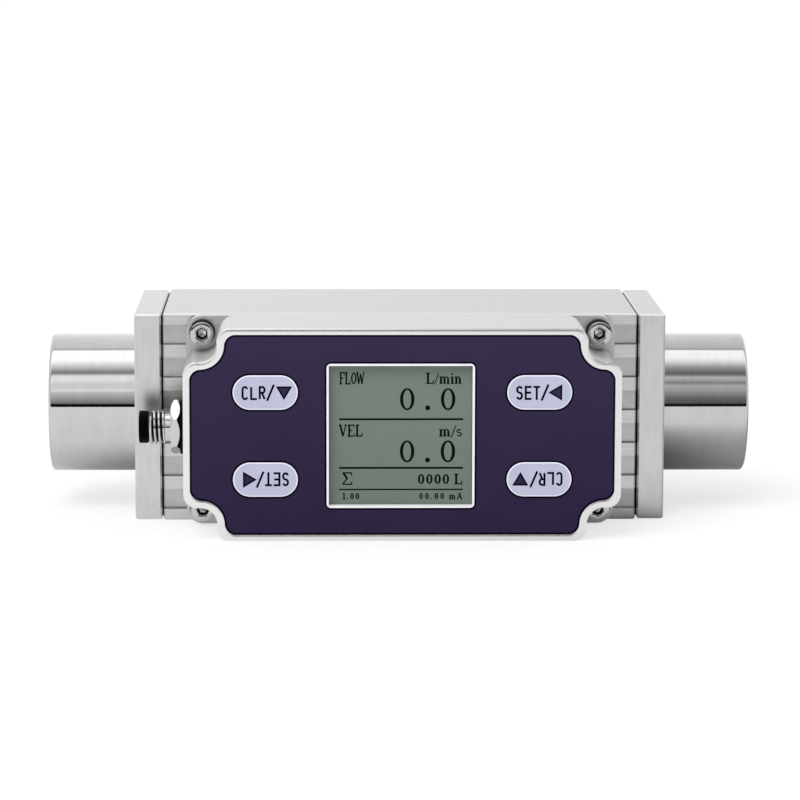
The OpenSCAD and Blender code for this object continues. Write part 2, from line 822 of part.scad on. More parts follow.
// Glass of the screen
module screen_glass() {
    shrink = 2 * (border_w + fit_gap);
    color("darkseagreen")
    on_front() at_window() slab(window_w - shrink, window_h - shrink, z_border_back, z_screen);
}

// Backlight behind the glass
module backlight() {
    color("white")
    on_front() at_window() slab(display_w, display_h, z_backlight_back, z_border_back);
}

// Board of the display
module display_board() {
    color("green")
    on_front() at_window() slab(display_w, display_h, z_display_back, z_backlight_back);
}

// Row connector between the display board and the main board
module board_link() {
    color("black")
    on_front() at_window() translate([0, display_h / 2 - socket_w, 0])
        slab(display_w * 0.7, socket_w, z_board_top, z_display_back);
}

// Main circuit board on the housing's bosses
module main_board() {
    color("darkgreen")
    on_front() difference() {
        slab(board_w, board_h, z_board_back, z_board_top);
        in_corners() translate([boss_x, boss_y, 0])
            rod(small_screw_d + 2 * fit_gap, z_board_back - overrun, z_board_top + overrun);
    }
}

// The four screws of the main board
module board_screws() {
    color("silver")
    on_front() in_corners() translate([boss_x, boss_y, z_board_back]) mirror([0, 0, 1])
        small_screw(board_t + boss_l / 2);
}

// Chips on the front of the main board, placed as shares of the board's size
module board_chips() {
    place_shares = [[0, -0.15, 0.13], [0.05, 0.18, 0.08], [0.2, 0.12, 0.09], [0.36, -0.1, 0.07], [-0.17, -0.2, 0.06]];
    color("black")
    on_front() for (p = place_shares) translate([p[0] * board_w, p[1] * board_h, 0])
        slab(p[2] * board_w, p[2] * board_w, z_board_top, z_board_top + chip_h);
}

// Sockets on the main board for the sensor cable, the connector cable and the key tail
module board_sockets() {
    color("ivory")
    on_front() {
        translate([sensor_socket_x, 0, 0])
            slab(socket_w, cable_w + socket_w, z_board_back - socket_h, z_board_back);
        translate([connector_socket_x, 0, 0])
            slab(socket_w, pin_pitch_d + socket_w, z_board_top, z_board_top + socket_h);
        translate([tail_x, tail_y, 0]) slab(socket_w, tail_w, z_board_top, z_board_top + socket_h);
    }
}

// Rechargeable battery pack taped under the main board
module battery_pack() {
    color("steelblue")
    on_front() translate([battery_x, 0, z_board_back - battery_t]) linear_extrude(battery_t)
        round_rect(battery_w, battery_h, edge_break);
}

// Turned shell of the connector, with its flange inside the wall
module connector_shell() {
    inside = -wall_t - conn_flange_t - conn_inside_l;
    thread_chamfer_d = (conn_d - conn_neck_d) / 2;
    color("silver")
    on_connector() difference() {
        union() {
            rod(conn_d, inside, conn_face);
            rod(conn_flange_d, -wall_t - conn_flange_t, -wall_t);
            rod(conn_neck_d, 0, conn_end);
            rod(conn_d, conn_neck_end, conn_end - thread_chamfer_d);
            translate([0, 0, conn_end - thread_chamfer_d])
                cylinder(h = thread_chamfer_d, d1 = conn_d, d2 = conn_neck_d);
        }
        rod(conn_bore_d, inside - overrun, conn_end + overrun);
    }
}

// Rubber washer that seals the connector on the housing's side
module connector_seal() {
    color("black")
    on_connector() ring(conn_seal_d, conn_d + 2 * fit_gap, 0, conn_seal_t);
}

// Hexagon nut of the connector, with chamfered corners
module connector_nut() {
    corner_d = nut_flats / cos(30);
    chamfer_h = (corner_d - nut_flats) / 2;
    middle = conn_seal_t + nut_t / 2;
    color("whitesmoke")
    on_connector() difference() {
        intersection() {
            translate([0, 0, conn_seal_t]) rotate([0, 0, nut_turn]) cylinder(d = corner_d, h = nut_t, $fn = 6);
            union() {
                translate([0, 0, middle]) cylinder(d1 = corner_d + chamfer_h, d2 = nut_flats, h = nut_t / 2);
                translate([0, 0, conn_seal_t]) cylinder(d1 = nut_flats, d2 = corner_d + chamfer_h, h = nut_t / 2);
            }
        }
        rod(conn_d + 2 * fit_gap, 0, conn_face + overrun);
    }
}

// Plastic insert that holds the pins
module connector_insert() {
    inner = -wall_t - conn_flange_t - conn_inside_l;
    color("black")
    on_connector() difference() {
        rod(conn_bore_d - 2 * fit_gap, inner, inner + conn_insert_t);
        for (a = [45:90:315]) rotate([0, 0, a]) translate([pin_pitch_d / 2, 0, 0])
            rod(pin_d + 2 * fit_gap, inner - overrun, inner + conn_insert_t + overrun);
    }
}

// The four contact pins
module connector_pins() {
    color("gold")
    on_connector() for (a = [45:90:315]) rotate([0, 0, a]) translate([pin_pitch_d / 2, 0, 0])
        rod(pin_d, -pin_in - pin_d, pin_out);
}

// Flat cable from the connector's pins to its socket on the main board
module connector_cable() {
    color("dimgray")
    on_front() ribbon(pin_in + pin_d - housing_w / 2, conn_rise - cable_t / 2,
                      connector_socket_x - socket_w / 2, z_board_top + socket_h / 2, pin_pitch_d);
}

// Push-in dust plug in the mouth of the connector
module dust_plug() {
    stem_d = conn_bore_d - 2 * fit_gap;
    color("black")
    on_connector() {
        rod(plug_d, conn_end, conn_end + plug_t);
        ring(stem_d, stem_d - 2 * plug_stem_t, conn_end - plug_stem_l, conn_end + overrun);
    }
}

flow_body();
end_plate(-1);  // end_plate_left
end_plate(1);  // end_plate_right
port_stub(-1);  // port_stub_left
port_stub(1);  // port_stub_right
port_seal(-1);  // port_seal_left
port_seal(1);  // port_seal_right
plate_gasket(-1);  // plate_gasket_left
plate_gasket(1);  // plate_gasket_right
end_plate_screws(-1);  // end_plate_screws_left
end_plate_screws(1);  // end_plate_screws_right
flow_straightener(-1);  // flow_straightener_left
flow_straightener(1);  // flow_straightener_right
sensor_insert();
sensor_insert_seal();
sensor_insert_screws();
sensor_blade();
sensor_chip();
sensor_header();
sensor_cable();
housing();
housing_gasket();
housing_screws();
split_washers();
key_circuit();
key_spacer();
key_domes();
membrane_overlay();
key_caps();
window_border();
screen_glass();
backlight();
display_board();
board_link();
main_board();
board_screws();
board_chips();
board_sockets();
battery_pack();
connector_shell();
connector_seal();
connector_nut();
connector_insert();
connector_pins();
connector_cable();
dust_plug();
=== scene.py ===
"""Looks of a portable gas mass flow meter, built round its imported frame.

Lengths in this script are millimetres in the part's own frame until a mesh is made: X runs along
the gas path, the display faces -Y, Z is up, and the origin lies on the bottom of the flow body.
"""

import math

import bpy
import numpy as np
from mathutils import Matrix, Vector

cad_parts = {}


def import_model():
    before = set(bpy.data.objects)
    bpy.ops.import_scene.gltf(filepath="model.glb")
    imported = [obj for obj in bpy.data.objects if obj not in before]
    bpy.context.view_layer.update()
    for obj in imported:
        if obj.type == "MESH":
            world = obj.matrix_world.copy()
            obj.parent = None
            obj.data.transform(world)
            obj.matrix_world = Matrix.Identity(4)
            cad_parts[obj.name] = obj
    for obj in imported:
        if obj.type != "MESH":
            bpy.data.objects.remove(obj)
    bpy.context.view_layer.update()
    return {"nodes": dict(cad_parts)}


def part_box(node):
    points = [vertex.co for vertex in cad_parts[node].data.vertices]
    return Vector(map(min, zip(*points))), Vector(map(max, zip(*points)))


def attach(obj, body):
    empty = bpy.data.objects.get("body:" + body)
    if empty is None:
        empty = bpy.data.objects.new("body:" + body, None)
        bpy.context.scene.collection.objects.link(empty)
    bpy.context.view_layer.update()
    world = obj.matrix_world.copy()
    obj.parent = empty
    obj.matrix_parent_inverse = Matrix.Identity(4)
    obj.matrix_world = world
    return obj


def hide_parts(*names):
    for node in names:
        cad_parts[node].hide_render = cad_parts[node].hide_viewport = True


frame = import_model()

MM = 0.001


# Places read from the frame


def box_mm(node):
    """Lowest and highest corner of a CAD node, in millimetres."""
    low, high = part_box(node)
    return np.array(low) / MM, np.array(high) / MM


body_low, body_high = box_mm("flow_body")
body_front = body_low[1]
axis_z = (body_low[2] + body_high[2]) / 2
film_face = box_mm("membrane_overlay")[0][1]
key_face = box_mm("key_caps")[0][1]
glass_face = box_mm("screen_glass")[0][1]

# Rows are where the local x, y and z axes of a drawing point in the part's frame.
FRONT_AXES = np.array([[1, 0, 0], [0, 0, 1], [0, -1, 0]])
LEFT_AXES = np.array([[0, 0, 1], [0, 1, 0], [-1, 0, 0]])
RIGHT_AXES = np.array([[0, 0, -1], [0, 1, 0], [1, 0, 0]])


# Meshes


def placed(points, origin, axes):
    """Local points carried to the part's frame: the origin plus each coordinate along its axis."""
    return np.asarray(points, float) @ axes + np.asarray(origin, float)


def outward(points, faces):
    """Faces turned so that the signed volume, the sum of tetrahedra from the origin, is positive."""
    centre = points.mean(axis=0)
    volume = 0.0
    for face in faces:
        corner = points[face] - centre
        for i in range(1, len(face) - 1):
            volume += np.dot(corner[0], np.cross(corner[i], corner[i + 1]))
    return faces if volume > 0 else [face[::-1] for face in faces]


def skin(rings, loop=False):
    """Closed solid through a stack of rings, an (n, m, 3) grid that wraps round in m.

    A looped stack joins its last ring to its first, like a tyre. Otherwise each end ring is
    closed by one flat face. Returns the points and the faces.
    """
    rings = np.asarray(rings, float)
    n, m, _ = rings.shape
    points = rings.reshape(-1, 3)
    row = np.arange(n if loop else n - 1)[:, None]
    col = np.arange(m)[None, :]
    here, right = row * m + col, row * m + (col + 1) % m
    up = (row + 1) % n
    above, above_right = up * m + col, up * m + (col + 1) % m
    faces = np.stack([here, right, above_right, above], axis=-1).reshape(-1, 4).tolist()
    if not loop:
        faces.append(list(range(m))[::-1])
        faces.append(list(range((n - 1) * m, n * m)))
    return points, outward(points, faces)


def joined(parts):
    """Several solids as one list of points and one of faces."""
    points, faces, start = [], [], 0
    for part_points, part_faces in parts:
        points.append(part_points)
        faces += [[start + i for i in face] for face in part_faces]
        start += len(part_points)
    return np.concatenate(points), faces


def piece(name, solid, material, replaces=(), smooth_below=32):
    """Makes a mesh piece from points in millimetres and lets it ride on the part's one body."""
    points, faces = solid
    mesh = bpy.data.meshes.new(name)
    mesh.from_pydata((points * MM).tolist(), [], faces)
    mesh.validate()
    mesh.shade_smooth()
    mesh.set_sharp_from_angle(angle=math.radians(smooth_below))
    mesh.materials.append(material)
    made = bpy.data.objects.new(name, mesh)
    bpy.context.scene.collection.objects.link(made)
    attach(made, "root")
    if replaces:
        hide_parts(*replaces)
    return made


def turned(profile, sides, loop=False):
    """Solid turned round local z from rows of (radius, height, hexagon, knurl).

    At angle a the radius is r * (1 - hexagon + hexagon * cos 30 / cos b), b being a folded into
    plus or minus 30 degrees, less a knurl depth times |sin 18a|. Hexagon 1 gives a hexagon whose
    corners lie on r.
    """
    rows = np.array([tuple(row) + (0.0,) * (4 - len(row)) for row in profile], float)
    angle = np.arange(sides) * 2 * np.pi / sides
    folded = (angle + np.pi / 6) % (np.pi / 3) - np.pi / 6
    flat = np.cos(np.pi / 6) / np.cos(folded)
    knurl = np.abs(np.sin(18 * angle))
    radius = rows[:, :1] * (1 + rows[:, 2:3] * (flat - 1)) - rows[:, 3:4] * knurl
    height = np.repeat(rows[:, 1:2], sides, axis=1)
    return skin(np.stack([radius * np.cos(angle), radius * np.sin(angle), height], -1), loop)


def threaded(rows, sides, pitch, depth, inside=False, crest=0.115, root=0.115, loop=True):
    """Solid turned round local z whose rows (radius, height, share) may carry a screw thread.

    A row's share, 0 to 1, scales a groove of the given depth. The groove at height h and angle a
    is the triangle wave of h / pitch - a / 2 pi, so it climbs one pitch a turn. It cuts inwards
    from an outside thread and outwards into the wall round an inside one. Crest and root are the
    shares of the pitch that stay flat.
    """
    rows = np.array(rows, float)
    angle = np.arange(sides) * 2 * np.pi / sides
    phase = (rows[:, 1:2] / pitch - angle / (2 * np.pi)) % 1
    wave = np.clip((1 - np.abs(2 * phase - 1) - crest) / (1 - crest - root), 0, 1)
    groove = depth * rows[:, 2:3] * wave
    radius = rows[:, :1] + (groove if inside else -groove)
    height = np.repeat(rows[:, 1:2], sides, axis=1)
    return skin(np.stack([radius * np.cos(angle), radius * np.sin(angle), height], -1), loop)


def pill_outline(length, height, grow=0.0, arc=24):
    """Outline of a bar with half-round ends: two half circles whose centres lie on its long axis."""
    radius = height / 2 + grow
    reach = (length - height) / 2
    turn = np.linspace(-np.pi / 2, np.pi / 2, arc)
    right = np.stack([reach + radius * np.cos(turn), radius * np.sin(turn)], -1)
    return np.concatenate([right, -right])


def raised(outline, height):
    """A flat outline lifted to one height."""
    return np.column_stack([outline, np.full(len(outline), float(height))])


def band(outer, inner, low, high):
    """Flat closed band between two outlines that have the same number of points."""
    rings = [raised(outer, low), raised(outer, high), raised(inner, high), raised(inner, low)]
    return skin(rings, loop=True)


def plate(outline, low, high):
    """Flat closed plate with one outline."""
    return skin([raised(outline, low), raised(outline, high)])


def stroke(path, width, low, high):
    """A pen of a given width along a flat path, mitred at its corners and square at its ends.

    Each point moves sideways by half the width over the cosine of half the turn there.
    """
    path = np.asarray(path, float)
    step = np.diff(path, axis=0)
    step /= np.linalg.norm(step, axis=1, keepdims=True)
    before, after = np.vstack([step[:1], step]), np.vstack([step, step[-1:]])
    along = before + after
    along /= np.linalg.norm(along, axis=1, keepdims=True)
    side = np.column_stack([-along[:, 1], along[:, 0]])
    side *= width / 2 / np.maximum((along * after).sum(axis=1, keepdims=True), 0.5)
    left, right = path + side, path - side
    rings = np.stack([raised(left, low), raised(left, high), raised(right, high), raised(right, low)], 1)
    return skin(rings)


def front_loops(node):
    """Closed edges of a node's front face, widest first, as flat outlines drawn round the gas axis."""
    mesh = frame["nodes"][node].data
    points = np.empty(len(mesh.vertices) * 3)
    mesh.vertices.foreach_get("co", points)
    points = points.reshape(-1, 3) / MM
    front = set(np.flatnonzero(points[:, 1] < points[:, 1].min() + 0.001).tolist())
    rings = [list(face.vertices) for face in mesh.polygons]
    rings = [ring for ring in rings if front.issuperset(ring)]
    edges = {pair for ring in rings for pair in zip(ring, ring[1:] + ring[:1])}
    after = {a: b for a, b in edges if (b, a) not in edges}
    loops = []
    while after:
        start, here = after.popitem()
        loop = [start]
        while here != start:
            loop.append(here)
            here = after.pop(here)
        loops.append(points[loop][:, [0, 2]] - [0, axis_z])
    return sorted(loops, key=lambda loop: -np.ptp(loop, axis=0).prod())


def aside(loop, distance):
    """An outline moved outwards by a distance, each point square to the line between its neighbours."""
    along = np.roll(loop, -1, axis=0) - np.roll(loop, 1, axis=0)
    along /= np.linalg.norm(along, axis=1, keepdims=True)
    out = np.column_stack([along[:, 1], -along[:, 0]])
    turns = np.sum(loop[:, 0] * np.roll(loop[:, 1], -1) - loop[:, 1] * np.roll(loop[:, 0], -1))
    return loop + out * distance * np.sign(turns)


def arc_path(x, y, radius_x, radius_y, start, end, points=14):
    """Points on an ellipse from one angle to another, in degrees."""
    turn = np.radians(np.linspace(start, end, points))
    return np.stack([x + radius_x * np.cos(turn), y + radius_y * np.sin(turn)], -1)


# Materials


def srgb(text):
    """Linear colour of an sRGB hex value."""
    code = np.array([int(text[i : i + 2], 16) for i in (1, 3, 5)]) / 255
    linear = np.where(code <= 0.04045, code / 12.92, ((code + 0.055) / 1.055) ** 2.4)
    return (*linear.tolist(), 1.0)


def add(tree, kind, sockets=(), **settings):
    """Adds a node with its settings. Sockets are values or links, by input name or number."""
    node = tree.nodes.new(kind)
    for name, value in settings.items():
        setattr(node, name, value)
    for name, value in dict(sockets).items():
        if isinstance(value, bpy.types.NodeSocket):
            tree.links.new(value, node.inputs[name])
        else:
            node.inputs[name].default_value = value
    return node


def finish(name, colour, roughness, metallic=0.0, shine=0.5):
    """A new material with a Principled shader. Returns the material, its node tree and the shader."""
    material = bpy.data.materials.new(name)
    material.use_nodes = True
    tree = material.node_tree
    shader = tree.nodes["Principled BSDF"]
    values = {"Roughness": roughness, "Metallic": metallic, "Specular IOR Level": shine}
    for socket, value in {"Base Color": srgb(colour), **values}.items():
        shader.inputs[socket].default_value = value
    return material, tree, shader


def per_mm(size_x, size_y, size_z):
    """Mapping scale that gives noise features of these sizes in millimetres along each axis."""
    return tuple(1 / (size * MM) for size in (size_x, size_y, size_z))


def grain(tree, sizes, detail=3.0, roughness=0.55, offset=(0, 0, 0)):
    """Noise on Object coordinates whose features have the given sizes in millimetres."""
    place = add(tree, "ShaderNodeTexCoord").outputs["Object"]
    scaled = add(tree, "ShaderNodeMapping", {"Vector": place, "Scale": per_mm(*sizes), "Location": offset})
    settings = {"Vector": scaled.outputs[0], "Scale": 1.0, "Detail": detail, "Roughness": roughness}
    return add(tree, "ShaderNodeTexNoise", settings).outputs["Fac"]


def arithmetic(tree, operation, *values):
    """One arithmetic node on values or links."""
    return add(tree, "ShaderNodeMath", dict(enumerate(values)), operation=operation).outputs[0]


def spread(tree, value, low, high, start=0.3, end=0.7, curve="LINEAR"):
    """Maps a value from one range to another, by default from the middle of a noise value."""
    ends = {"Value": value, "From Min": start, "From Max": end, "To Min": low, "To Max": high}
    return add(tree, "ShaderNodeMapRange", ends, interpolation_type=curve).outputs[0]


def eased(tree, value, start, end, low=0.0, high=1.0):
    """Maps a value from one range to another, easing in and out."""
    return spread(tree, value, low, high, start, end, "SMOOTHSTEP")


def blended(tree, factor, first, second):
    """Blends two numbers, each of them a value or a link."""
    sockets = {"Factor": factor, "A": first, "B": second}
    return add(tree, "ShaderNodeMix", sockets, data_type="FLOAT").outputs["Result"]


def position(tree):
    """The three Object coordinates."""
    place = add(tree, "ShaderNodeTexCoord").outputs["Object"]
    return add(tree, "ShaderNodeSeparateXYZ", {0: place}).outputs


def tint(tree, value, dark, light):
    """Blends two colours by a value. Each is a hex text or a link."""
    mix = add(tree, "ShaderNodeMix", {"Factor": value}, data_type="RGBA")
    for name, colour in (("A", dark), ("B", light)):
        if isinstance(colour, str):
            mix.inputs[name].default_value = srgb(colour)
        else:
            tree.links.new(colour, mix.inputs[name])
    return mix.outputs["Result"]


def emboss(tree, shader, height, distance_mm, strength=1.0, under=None):
    """Bump of a real height in millimetres, over another bump if one is given."""
    sockets = {"Height": height, "Distance": distance_mm * MM, "Strength": strength}
    if under is not None:
        sockets["Normal"] = under
    bump = add(tree, "ShaderNodeBump", sockets).outputs[0]
    tree.links.new(bump, shader.inputs["Normal"])
    return bump


def milled_aluminium(name, colour_dark, colour_light, grain_mm, roughness, depth_mm, groove=None):
    """Aluminium block, face milled and clear anodised: grey, with fine lines along the cutter's feed.

    A darker groove colour, painted shade, goes on what faces forward more than a third of a millimetre
    behind the front: the floors of the milled grooves, in uneven patches.
    """
    material, tree, shader = finish(name, colour_light, roughness[1], 1.0)
    shader.inputs["Specular Tint"].default_value = srgb("#F0F0F0")
    lines = grain(tree, grain_mm, 4.0)
    cloud = grain(tree, (9, 9, 6), 2.0)
    mixed = arithmetic(tree, "ADD", lines, cloud)
    colour = tint(tree, spread(tree, mixed, 0, 1, 0.75, 1.25), colour_dark, colour_light)
    if groove:
        # Painted shade on the groove floors, stronger in uneven patches.
        normal = add(tree, "ShaderNodeNewGeometry").outputs["True Normal"]
        facing = add(tree, "ShaderNodeSeparateXYZ", {0: normal}).outputs["Y"]
        ahead = arithmetic(tree, "LESS_THAN", facing, -0.9)
        behind = arithmetic(tree, "GREATER_THAN", position(tree)["Y"], (body_front + 0.33) * MM)
        shade_patches = spread(tree, grain(tree, (5, 5, 3), 2.0, offset=(7, 3, 1)), 0.55, 1.0)
        share = arithmetic(tree, "MULTIPLY", arithmetic(tree, "MULTIPLY", behind, ahead), shade_patches)
        colour = tint(tree, share, colour, groove)
    tree.links.new(colour, shader.inputs["Base Color"])
    tree.links.new(spread(tree, cloud, *roughness), shader.inputs["Roughness"])
    emboss(tree, shader, lines, depth_mm)
    return material


def blasted_casting():
    """Die-cast aluminium housing, bead blasted: pale grey with an even fine grit.

    Its rim is milled after casting, so the last tenths under the rim's face are smoother.
    """
    material, tree, shader = finish("blasted_aluminium_casting", "#E2E2E1", 0.42, 1.0)
    cloud = grain(tree, (7, 7, 7), 2.0)
    front = box_mm("housing")[0][1]
    rim = spread(tree, position(tree)["Y"], 0, 1, (front + 0.5) * MM, (front + 0.05) * MM)
    rough = blended(tree, rim, spread(tree, cloud, 0.36, 0.46), 0.16)
    tree.links.new(rough, shader.inputs["Roughness"])
    blasted = tint(tree, spread(tree, cloud, 0, 1), "#D5D5D4", "#DEDEDD")
    tree.links.new(tint(tree, rim, blasted, "#E4E4E4"), shader.inputs["Base Color"])
    emboss(tree, shader, grain(tree, (0.28, 0.28, 0.28), 2.0), 0.012, 0.6)
    return material


def turned_steel(name, dull, colour, roughness):
    """Stainless steel turned on a lathe along X: bright, with fine rings left by the tool's feed."""
    material, tree, shader = finish(name, colour, roughness, 1.0)
    rings = grain(tree, (0.25, 30, 30), 5.0, 0.7)
    both = arithmetic(tree, "ADD", rings, grain(tree, (2.5, 6, 6), 3.0))
    worn = spread(tree, both, 0, 1, 0.75, 1.25)
    tree.links.new(tint(tree, worn, dull, colour), shader.inputs["Base Color"])
    tree.links.new(spread(tree, rings, roughness * 0.7, roughness * 1.4), shader.inputs["Roughness"])
    emboss(tree, shader, both, 0.0008)
    return material


def plain_metal(name, colour, roughness, grit_mm=0.5, depth_mm=0.004):
    """Small metal piece with a faint mottled surface."""
    material, tree, shader = finish(name, colour, roughness, 1.0)
    mottle = grain(tree, (grit_mm,) * 3, 3.0)
    tree.links.new(spread(tree, mottle, roughness * 0.75, roughness * 1.25), shader.inputs["Roughness"])
    emboss(tree, shader, mottle, depth_mm)
    return material


def nickel_thread():
    """Nickel plated brass with painted shade in its thread: darker towards its roots."""
    material, tree, shader = finish("nickel_plated_thread", "#CFCFCE", 0.045, 1.0)
    low, high = box_mm("connector_shell")
    at = position(tree)
    across = arithmetic(tree, "ADD", at["Y"], -(low[1] + high[1]) / 2 * MM)
    above = arithmetic(tree, "ADD", at["Z"], -(low[2] + high[2]) / 2 * MM)
    side = add(tree, "ShaderNodeCombineXYZ", {0: across, 1: above}).outputs[0]
    radius = add(tree, "ShaderNodeVectorMath", {0: side}, operation="LENGTH").outputs["Value"]
    crest = eased(tree, radius, 3.38 * MM, 3.7 * MM)
    thread_end = box_mm("connector_nut")[0][0] - 1.35
    neck = arithmetic(tree, "GREATER_THAN", at["X"], thread_end * MM)
    unshaded = arithmetic(tree, "MAXIMUM", crest, neck)
    # Painted shade: the thread's roots go dark, while its crests and the neck keep the nickel's colour.
    tree.links.new(tint(tree, unshaded, "#1C1C1C", "#CFCFCE"), shader.inputs["Base Color"])
    tree.links.new(spread(tree, grain(tree, (0.8,) * 3, 3.0), 0.03, 0.06), shader.inputs["Roughness"])
    return material


def moulded(name, colour_dark, colour_light, roughness, grit_mm=0.3, depth_mm=0.01, shine=0.5):
    """Moulded plastic or rubber with a fine spark-eroded grain."""
    material, tree, shader = finish(name, colour_light, roughness, shine=shine)
    grit = grain(tree, (grit_mm,) * 3, 2.0)
    cloud = spread(tree, grain(tree, (5, 5, 5), 2.0), 0, 1)
    tree.links.new(tint(tree, cloud, colour_dark, colour_light), shader.inputs["Base Color"])
    tree.links.new(spread(tree, grit, roughness * 0.85, roughness * 1.15), shader.inputs["Roughness"])
    emboss(tree, shader, grit, depth_mm)
    return material


def risen(tree, node, mottle, share):
    """Height up a CAD node from 0 to 1, made uneven by a share of a mottle."""
    low, high = box_mm(node)
    rise = spread(tree, position(tree)["Z"], 0, 1, low[2] * MM, high[2] * MM)
    return arithmetic(tree, "ADD", rise, spread(tree, mottle, -share, share))


def printed_film():
    """Polyester keypad film, printed violet on its back: satin, with painted shade that makes it a little
    darker low down.
    """
    material, tree, shader = finish("violet_polyester_film", "#33294A", 0.42, shine=0.1)
    # Painted shade: the film darkens towards its bottom, unevenly.
    rise = risen(tree, "membrane_overlay", grain(tree, (14, 14, 14), 2.0), 0.15)
    tree.links.new(tint(tree, rise, "#2A1E3D", "#332A47"), shader.inputs["Base Color"])
    velvet = grain(tree, (0.12, 0.12, 0.12), 2.0)
    tree.links.new(spread(tree, velvet, 0.38, 0.48), shader.inputs["Roughness"])
    emboss(tree, shader, velvet, 0.004)
    return material


def screen_film():
    """Reflective liquid crystal screen: grey-green, flat, with a faint mottle of its polariser and painted
    shade, darker towards its bottom.
    """
    material, tree, shader = finish("grey_green_screen", "#768279", 0.3, shine=0.1)
    # Painted shade: the screen darkens towards its bottom, and the mottle is its polariser's.
    rise = risen(tree, "screen_glass", grain(tree, (3, 3, 3), 3.0), 0.1)
    tree.links.new(tint(tree, rise, "#6E7B73", "#768279"), shader.inputs["Base Color"])
    emboss(tree, shader, grain(tree, (0.2, 0.2, 0.2), 2.0), 0.002)
    return material


def circuit_laminate(name, mask_dark, mask_light):
    """Epoxy glass circuit board under a solder mask, its copper tracks showing as a lighter green."""
    material, tree, shader = finish(name, mask_light, 0.35)
    place = add(tree, "ShaderNodeTexCoord").outputs["Object"]
    scaled = add(tree, "ShaderNodeMapping", {"Vector": place, "Scale": per_mm(1.2, 1.2, 1.2)}).outputs[0]
    settings = {"Vector": scaled, "Scale": 1.0, "Mortar Size": 0.18, "Brick Width": 2.6, "Row Height": 0.9}
    tracks = add(tree, "ShaderNodeTexBrick", settings).outputs["Fac"]
    tree.links.new(tint(tree, tracks, mask_dark, mask_light), shader.inputs["Base Color"])
    emboss(tree, shader, tracks, 0.035)
    return material


along_body, across_plate = (14, 0.35, 0.35), (1.1, 1.1, 5)
block = "milled_aluminium_block", "#CBCBCB", "#DADADA", along_body, (0.22, 0.3), 0.0015
# The groove colour is painted shade on the floors of the body's grooves.
body_metal = milled_aluminium(*block, groove="#B3B3B3")
ground = "ground_aluminium_plate", "#D1D1D1", "#DEDEDE", across_plate, (0.2, 0.3), 0.0012
plate_metal = milled_aluminium(*ground)
housing_metal = blasted_casting()
port_steel = turned_steel("turned_stainless_steel", "#C9C9C9", "#D1D1D1", 0.04)
rim_metal = plain_metal("diamond_cut_aluminium", "#EDEDED", 0.16, 0.8, 0.0003)
screw_steel = plain_metal("stainless_screw_steel", "#CACACA", 0.07)
# The split washers' dark colour is partly blackened steel and partly painted shadow: a dark ring round each
# screw head.
washer_steel_and_shadow = plain_metal("blackened_steel_and_painted_shadow", "#4C4C4E", 0.35)
nickel = plain_metal("nickel_plated_brass", "#CFCFCE", 0.045, 0.8, 0.0006)
thread_nickel = nickel_thread()
gold = plain_metal("gold_plated_contact", "#E0B65A", 0.2)
dome_steel = plain_metal("pressed_dome_steel", "#C4C4C4", 0.25)
mesh_steel = plain_metal("sintered_straightener_steel", "#B5B4B2", 0.35)
rubber = moulded("black_nitrile_rubber", "#020203", "#070708", 0.6, shine=0.06)
plug_plastic = moulded("black_polyethylene_plug", "#010102", "#030304", 0.4, 0.4, 0.01, shine=0.03)
# Painted shade for the corners of the screw sockets.
socket_painted_shade = moulded("black_painted_socket_shade", "#080808", "#1A1A1A", 0.7, 0.3, 0.01, shine=0.1)
insert_plastic = moulded("natural_sensor_polymer", "#C9BFA4", "#D8CFB6", 0.45)
white_plastic = moulded("white_border_plastic", "#EFEEF4", "#FAFAFC", 0.38, 0.4, 0.004)
socket_plastic = moulded("ivory_socket_nylon", "#D9D3C0", "#E6E1D0", 0.5)
chip_plastic = moulded("black_chip_epoxy", "#151617", "#202122", 0.5)
battery_wrap = moulded("blue_battery_wrap", "#27528C", "#3465A6", 0.35)
light_guide = moulded("white_light_guide", "#E8EAEE", "#F5F6F8", 0.25)
amber_film = moulded("amber_polyimide_film", "#A8641C", "#C07A2A", 0.35, 0.3, 0.003)
clear_film = moulded("milky_spacer_film", "#D8D8D2", "#E6E6E0", 0.4, 0.3, 0.003)
sensor_ceramic = moulded("grey_sensor_ceramic", "#3B4044", "#4A5055", 0.4)
board_green = circuit_laminate("green_circuit_laminate", "#0E3A22", "#17512F")
violet_film = printed_film()
key_film = moulded("lavender_key_print", "#BABCD4", "#C1C3DA", 0.4, 0.15, 0.002, shine=0.2)
key_edge_highlight = moulded("painted_key_edge_highlight", "#EAEAF6", "#F3F3FC", 0.35, 0.15, 0.002, shine=0.2)
# The dark ink prints the keys' lines and legends, and also paints the shadow lines along the film.
ink_and_shadow = moulded("dark_violet_ink_and_painted_shadow", "#040010", "#080218", 0.5, 0.15, 0.001, shine=0.03)
screen_face = screen_film()
screen_ink = moulded("dark_screen_segments", "#030806", "#060C09", 0.5, 0.2, 0.001, shine=0.05)

